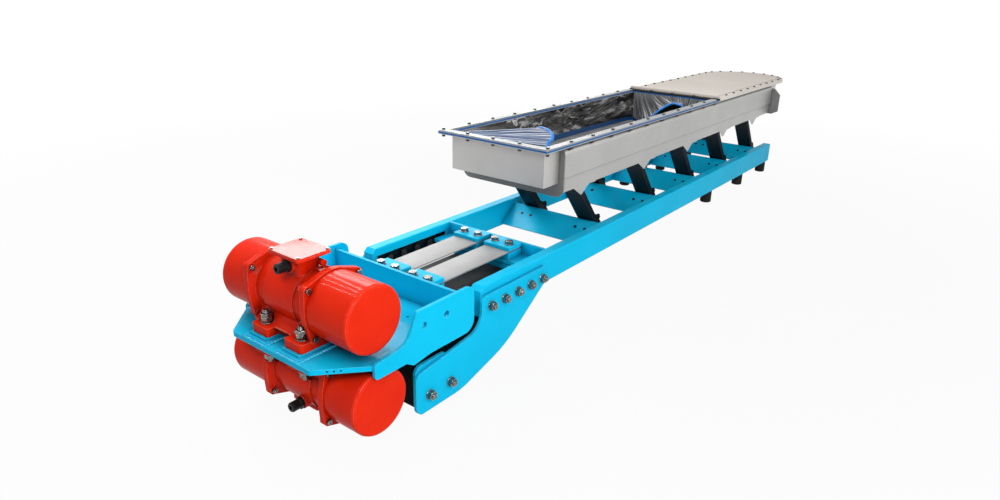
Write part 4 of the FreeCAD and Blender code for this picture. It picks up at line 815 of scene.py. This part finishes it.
def makeWelds(spec):
    up = Vector((0, 0, 1))
    middleX = frontOfRails + (spec["front"] + spec["rear"]) / 2
    middleY = (spec["inner"] + spec["outer"]) / 2
    outline = roundedBar(spec["rear"] - spec["front"], spec["outer"] - spec["inner"], spec["corner"],
                         spec["cornerSteps"])
    turns = [2 * math.pi * number / spec["sides"] for number in range(spec["sides"])]
    shape = bmesh.new()
    for side in (-1, 1):
        corners = [Vector((middleX + u, side * middleY + v, spec["height"])) for u, v in outline]
        loop = evenLoop(corners, spec["pitch"], spec["pitchSteps"])
        sections = []
        for index, point in enumerate(loop):
            ahead = (loop[(index + 1) % len(loop)] - loop[index - 1]).normalized()
            out = ahead.cross(up)
            wave = abs(math.cos(math.pi * index / spec["pitchSteps"]))
            swell = spec["radius"] * (1 - spec["ripple"] * wave)
            sections.append([point + (out * math.cos(turn) + up * math.sin(turn)) * swell
                             for turn in turns])
        skin(shape, sections, closed=True)
    welds = newPiece("padWelds", shape, weldPaint, spec["smooth"])
    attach(welds, "exciter")


makeWelds(weldSpec)
print("welds made")


# film sleeve with its hem

filmSpec = {
    "front": 0.481, "rear": 2.130, "side": 0.235, "top": 0.6045,
    "sideSteps": 230, "endSteps": 90, "depthSteps": 48, "gather": 2.2,
    # free edge, from the near front corner round: how far back, across, height
    "frontArch": [(0.700, -0.205, 0.482), (0.690, -0.150, 0.525), (0.718, -0.092, 0.558),
                  (0.768, -0.080, 0.574), (0.808, -0.052, 0.588), (0.838, -0.008, 0.596),
                  (0.852, 0.042, 0.599)],
    "farHem": [(0.852, 0.042, 0.599), (0.880, 0.105, 0.572), (0.94, 0.170, 0.516), (1.03, 0.206, 0.480),
               (1.15, 0.222, 0.470), (1.45, 0.226, 0.466), (1.75, 0.224, 0.463), (2.00, 0.220, 0.460),
               (2.07, 0.200, 0.458)],
    "rearArch": [(2.07, 0.200, 0.458), (2.03, 0.150, 0.452), (1.955, 0.085, 0.472), (1.938, 0.020, 0.506),
                 (1.968, -0.014, 0.542), (2.010, -0.040, 0.568), (2.045, -0.065, 0.580),
                 (2.02, -0.110, 0.582), (1.979, -0.150, 0.578), (1.92, -0.205, 0.500)],
    "nearHem": [(1.92, -0.205, 0.500), (1.75, -0.222, 0.472), (1.45, -0.226, 0.468),
                (1.05, -0.224, 0.470), (0.70, -0.205, 0.482)],
    "hemWidth": 0.014, "hemLowWidth": 0.034, "hemHeights": (0.495, 0.53), "hemThickness": 0.008,
    "hemEdge": 0.0035, "hemSteps": 3, "hemSmooth": 60,
    "flat": (4.24, 0.40), "area": 0.66,
}
wallFolds = {  # noises: how often along and down the wall, how slanting, and which draw
    "calm": (0.3, 0.12), "sag": 0.6,
    "crease": {"height": 0.010, "along": 7, "slant": 3, "down": 4.5, "draw": 3.1},
    "fine": {"height": 0.005, "along": 19, "slant": -8, "down": 9.0, "draw": 8.7},
    "ridge": {"height": 0.012, "along": 10, "slant": 5, "down": 3.0, "draw": 1.7, "narrow": 2, "sharp": 4},
}
endFolds = {
    "calm": 0.08, "bulge": 0.8, "bend": (2.0, 3, 0.3, 0.9),
    "fine": {"height": 0.005, "along": 26, "down": 2.0, "draw": 5.2},
    "frontArch": {"folds": 8, "drop": -0.003, "height": 0.004},
    "rearArch": {"folds": 11, "drop": -0.010, "height": 0.008},
}
# one film in three looks; the light streaks are painted reflections, lighter on the tongue and fan than on
# the dark wall, and the wall's crease lines are painted highlights
filmLooks = {
    "wall": {"reflectionStreaks": (20, 2.8), "dark": (0.004, 0.004, 0.004), "mid": (0.07, 0.068, 0.065),
             "light": (0.62, 0.62, 0.62), "levels": (0.40, 0.58, 0.72), "rough": (0.05, 0.12),
             "shine": 0.2, "waver": 0.09,
             "creases": {"scale": 6.0, "bend": 9.0, "bendDetail": 2.0, "bendScale": 2.2,
                         "level": (0.86, 0.99), "patchNoise": (3.0, 2), "patch": (0.46, 0.66)}},
    "tongue": {"reflectionStreaks": (380, 0.6), "dark": (0.015, 0.02, 0.04), "mid": (0.24, 0.30, 0.45),
               "light": (0.88, 0.90, 0.94), "levels": (0.38, 0.52, 0.64), "rough": (0.10, 0.2),
               "shine": 0.05, "waver": 0.005},
    "fan": {"reflectionStreaks": (520, 0.4), "dark": (0.02, 0.02, 0.022), "mid": (0.16, 0.165, 0.175),
            "light": (0.85, 0.86, 0.87), "levels": (0.36, 0.54, 0.68), "rough": (0.10, 0.2),
            "shine": 0.05, "waver": 0.005},
}
filmKind = {"waverScale": 4.0, "waverDetail": 3.0, "reflectionStreakNoise": (1.0, 4, 0.6), "smudgeNoise": (12, 4),
            "crinkleNoise": (22, 5, 0.6, (1, 1, 1.6)), "crinkle": 0.5, "crinkleDepth": 0.006, "cover": 0.95}


# painted highlights: thin light lines along the creases
def creaseGlintLines(tree, place, spec):
    wave = addNode(tree, "TexWave", {"bands_direction": "Z"}, Vector=place, Scale=spec["scale"],
                   Distortion=spec["bend"], Detail=spec["bendDetail"], Detail_Scale=spec["bendScale"])
    lines = spreadValue(tree, wave.outputs[1], spec["level"])
    patches = spreadValue(tree, mottle(tree, place, *spec["patchNoise"]), spec["patch"])
    return mathValue(tree, "MULTIPLY", lines, patches)


def filmFinish(name, spec, kind=filmKind):
    finish, tree, shader, place = startFinish(name)
    spread = addNode(tree, "UVMap", {"uv_map": "filmSpread"}).outputs["UV"]
    waver = addNode(tree, "TexNoise", Vector=place, Scale=kind["waverScale"], Detail=kind["waverDetail"])
    bent = addNode(tree, "Mix", {"data_type": "VECTOR"}, Factor=spec["waver"])
    tree.links.new(spread, bent.inputs[4])
    tree.links.new(waver.outputs["Color"], bent.inputs[5])
    # painted reflection: streaks from dark to light
    reflectionStreak = mottle(tree, bent.outputs[1], *kind["reflectionStreakNoise"], (*spec["reflectionStreaks"], 1))
    low, middle, high = spec["levels"]
    tint = mixColours(tree, spreadValue(tree, reflectionStreak, (low, middle)), spec["dark"], spec["mid"])
    tint = mixColours(tree, spreadValue(tree, reflectionStreak, (middle, high)), tint, spec["light"])
    # painted highlights along the creases
    if "creases" in spec:
        tint = mixColours(tree, creaseGlintLines(tree, place, spec["creases"]), tint, spec["light"])
    tree.links.new(tint, shader.inputs["Base Color"])
    smudge(tree, shader, place, spec, kind["smudgeNoise"])
    relief(tree, shader, Height=mottle(tree, place, *kind["crinkleNoise"]), Strength=kind["crinkle"],
           Distance=kind["crinkleDepth"])
    shader.inputs["Alpha"].default_value = kind["cover"]
    shader.inputs["Specular IOR Level"].default_value = spec["shine"]
    return finish


def smoothRun(points, count):
    # one smooth curve through all the points, cut into even steps
    knots = [Vector((frontOfRails + x, y, z)) for x, y, z in points]
    lengths = [0.0]
    for before, after in zip(knots, knots[1:]):
        lengths.append(lengths[-1] + (after - before).length)
    run = []
    for step in range(count):
        distance = lengths[-1] * step / count
        index = max(i for i in range(len(knots) - 1) if lengths[i] <= distance + 1e-9)
        share = (distance - lengths[index]) / (lengths[index + 1] - lengths[index])
        before = knots[max(index - 1, 0)]
        first, second = knots[index], knots[index + 1]
        after = knots[min(index + 2, len(knots) - 1)]
        run.append(0.5 * (2 * first + (second - before) * share
                          + (2 * before - 5 * first + 4 * second - after) * share ** 2
                          + (3 * first - before - 3 * second + after) * share ** 3))
    return run


def easeStep(low, high, value):
    share = min(max((value - low) / (high - low), 0.0), 1.0)
    return share * share * (3 - 2 * share)


def wallNoise(spec, x, share):
    along = x * spec["along"] + share * spec["slant"]
    return noise.noise(Vector((along, share * spec["down"], spec["draw"])))


def wallPoint(top, low, along, share, spec=wallFolds):
    # hangs straight down first, then runs in to the hem, with slanting creases
    middle = easeStep(0.0, spec["calm"][0], along) * easeStep(0.0, spec["calm"][1], 1 - along)
    drop = share ** (1 + spec["sag"] * middle)
    point = Vector((top.x + (low.x - top.x) * share, top.y + (low.y - top.y) * drop,
                    top.z + (low.z - top.z) * share))
    swell = sum(spec[key]["height"] * wallNoise(spec[key], point.x, share) for key in ("crease", "fine"))
    ridge = spec["ridge"]
    crest = 1 - abs(wallNoise(ridge, point.x, share)) * ridge["narrow"]
    swell += ridge["height"] * max(crest, 0) ** ridge["sharp"]
    inward = Vector((0, -1 if top.y > 0 else 1, 0))
    return point + inward * math.sin(math.pi * share) * swell * middle


def endPoint(top, low, along, share, arch, spec=endFolds):
    # drawn in to the arch; folds fan out from the far corner of the rim
    point = top.lerp(low, share)
    ends = easeStep(0.0, spec["calm"], along) * easeStep(0.0, spec["calm"], 1 - along)
    grow = math.sin(math.pi * share) ** spec["bulge"] * ends
    reach, often, *draw = spec["bend"]
    bend = reach * noise.noise(Vector((along * often, *draw)))
    fold = math.sin(along * 2 * math.pi * spec[arch]["folds"] + bend)
    small = spec["fine"]
    fine = noise.noise(Vector((along * small["along"], share * small["down"], small["draw"])))
    point.z += grow * (spec[arch]["drop"] + spec[arch]["height"] * fold + small["height"] * fine)
    return point


def makeHem(spec, rim, hem):
    shape = bmesh.new()
    sections = []
    low, high = spec["hemHeights"]
    for index, point in enumerate(hem):
        ahead = (hem[(index + 1) % len(hem)] - hem[index - 1]).normalized()
        down = point - rim[index]
        down = (down - ahead * down.dot(ahead)).normalized()
        flat = ahead.cross(down)
        wide = easeStep(high, low, point.z)
        width = spec["hemWidth"] + (spec["hemLowWidth"] - spec["hemWidth"]) * wide
        outline = roundedBar(spec["hemThickness"], width, spec["hemEdge"], spec["hemSteps"])
        middle = point + down * (width - spec["hemWidth"]) / 2
        sections.append([middle + flat * u + down * v for u, v in outline])
    skin(shape, sections, closed=True)
    return newPiece("filmHem", shape, hemTape, spec["hemSmooth"])


def makeFilm(spec, looks):
    depth, gather = spec["depthSteps"], spec["gather"]
    x0, x1 = frontOfRails + spec["front"], frontOfRails + spec["rear"]
    y, z = spec["side"], spec["top"]
    corners = [Vector((x0, -y, z)), Vector((x0, y, z)), Vector((x1, y, z)), Vector((x1, -y, z))]
    rim, hem, parts = [], [], []
    for index, run in enumerate(("frontArch", "farHem", "rearArch", "nearHem")):
        count = spec["endSteps"] if run in endFolds else spec["sideSteps"]
        start, stop = corners[index], corners[(index + 1) % 4]
        for step in range(count):
            along = step / count
            share = along
            if run == "frontArch":
                share = 1 - (1 - along) ** gather
            elif run == "rearArch":
                share = along ** gather
            rim.append(start.lerp(stop, share))
            parts.append((run, along))
        hem += smoothRun(spec[run], count)
    shape = bmesh.new()
    spread = shape.loops.layers.uv.new("filmSpread")
    total = len(rim)
    rings = []
    for level in range(depth + 1):
        share = level / depth
        ring = []
        for top, low, (run, along) in zip(rim, hem, parts):
            if run in endFolds:
                ring.append(shape.verts.new(endPoint(top, low, along, share, run)))
            else:
                ring.append(shape.verts.new(wallPoint(top, low, along, share)))
        rings.append(ring)
    lookOf = {"farHem": 0, "nearHem": 0, "frontArch": 1, "rearArch": 2}  # wall, tongue, fan
    for level in range(depth):
        for index in range(total):
            after = (index + 1) % total
            face = shape.faces.new((rings[level][index], rings[level][after],
                                    rings[level + 1][after], rings[level + 1][index]))
            face.material_index = lookOf[parts[index][0]]
            for loop, (step, row) in zip(face.loops, ((0, 0), (1, 0), (1, 1), (0, 1))):
                loop[spread].uv = ((index + step) / total, (level + row) / depth)
    film = newPiece("filmSleeve", shape, filmFinish("filmWall", looks["wall"]), turnOut=False)
    for look in ("tongue", "fan"):
        film.data.materials.append(filmFinish("film" + look.capitalize(), looks[look]))
    film.data.polygons.foreach_set("use_smooth", [True] * len(film.data.polygons))
    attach(film, "trough")
    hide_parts("inlet_sleeve")

    band = makeHem(spec, rim, hem)
    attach(band, "trough")
    print("film area", round(sum(face.area for face in film.data.polygons), 3))


makeFilm(filmSpec, filmLooks)
print("film hung")
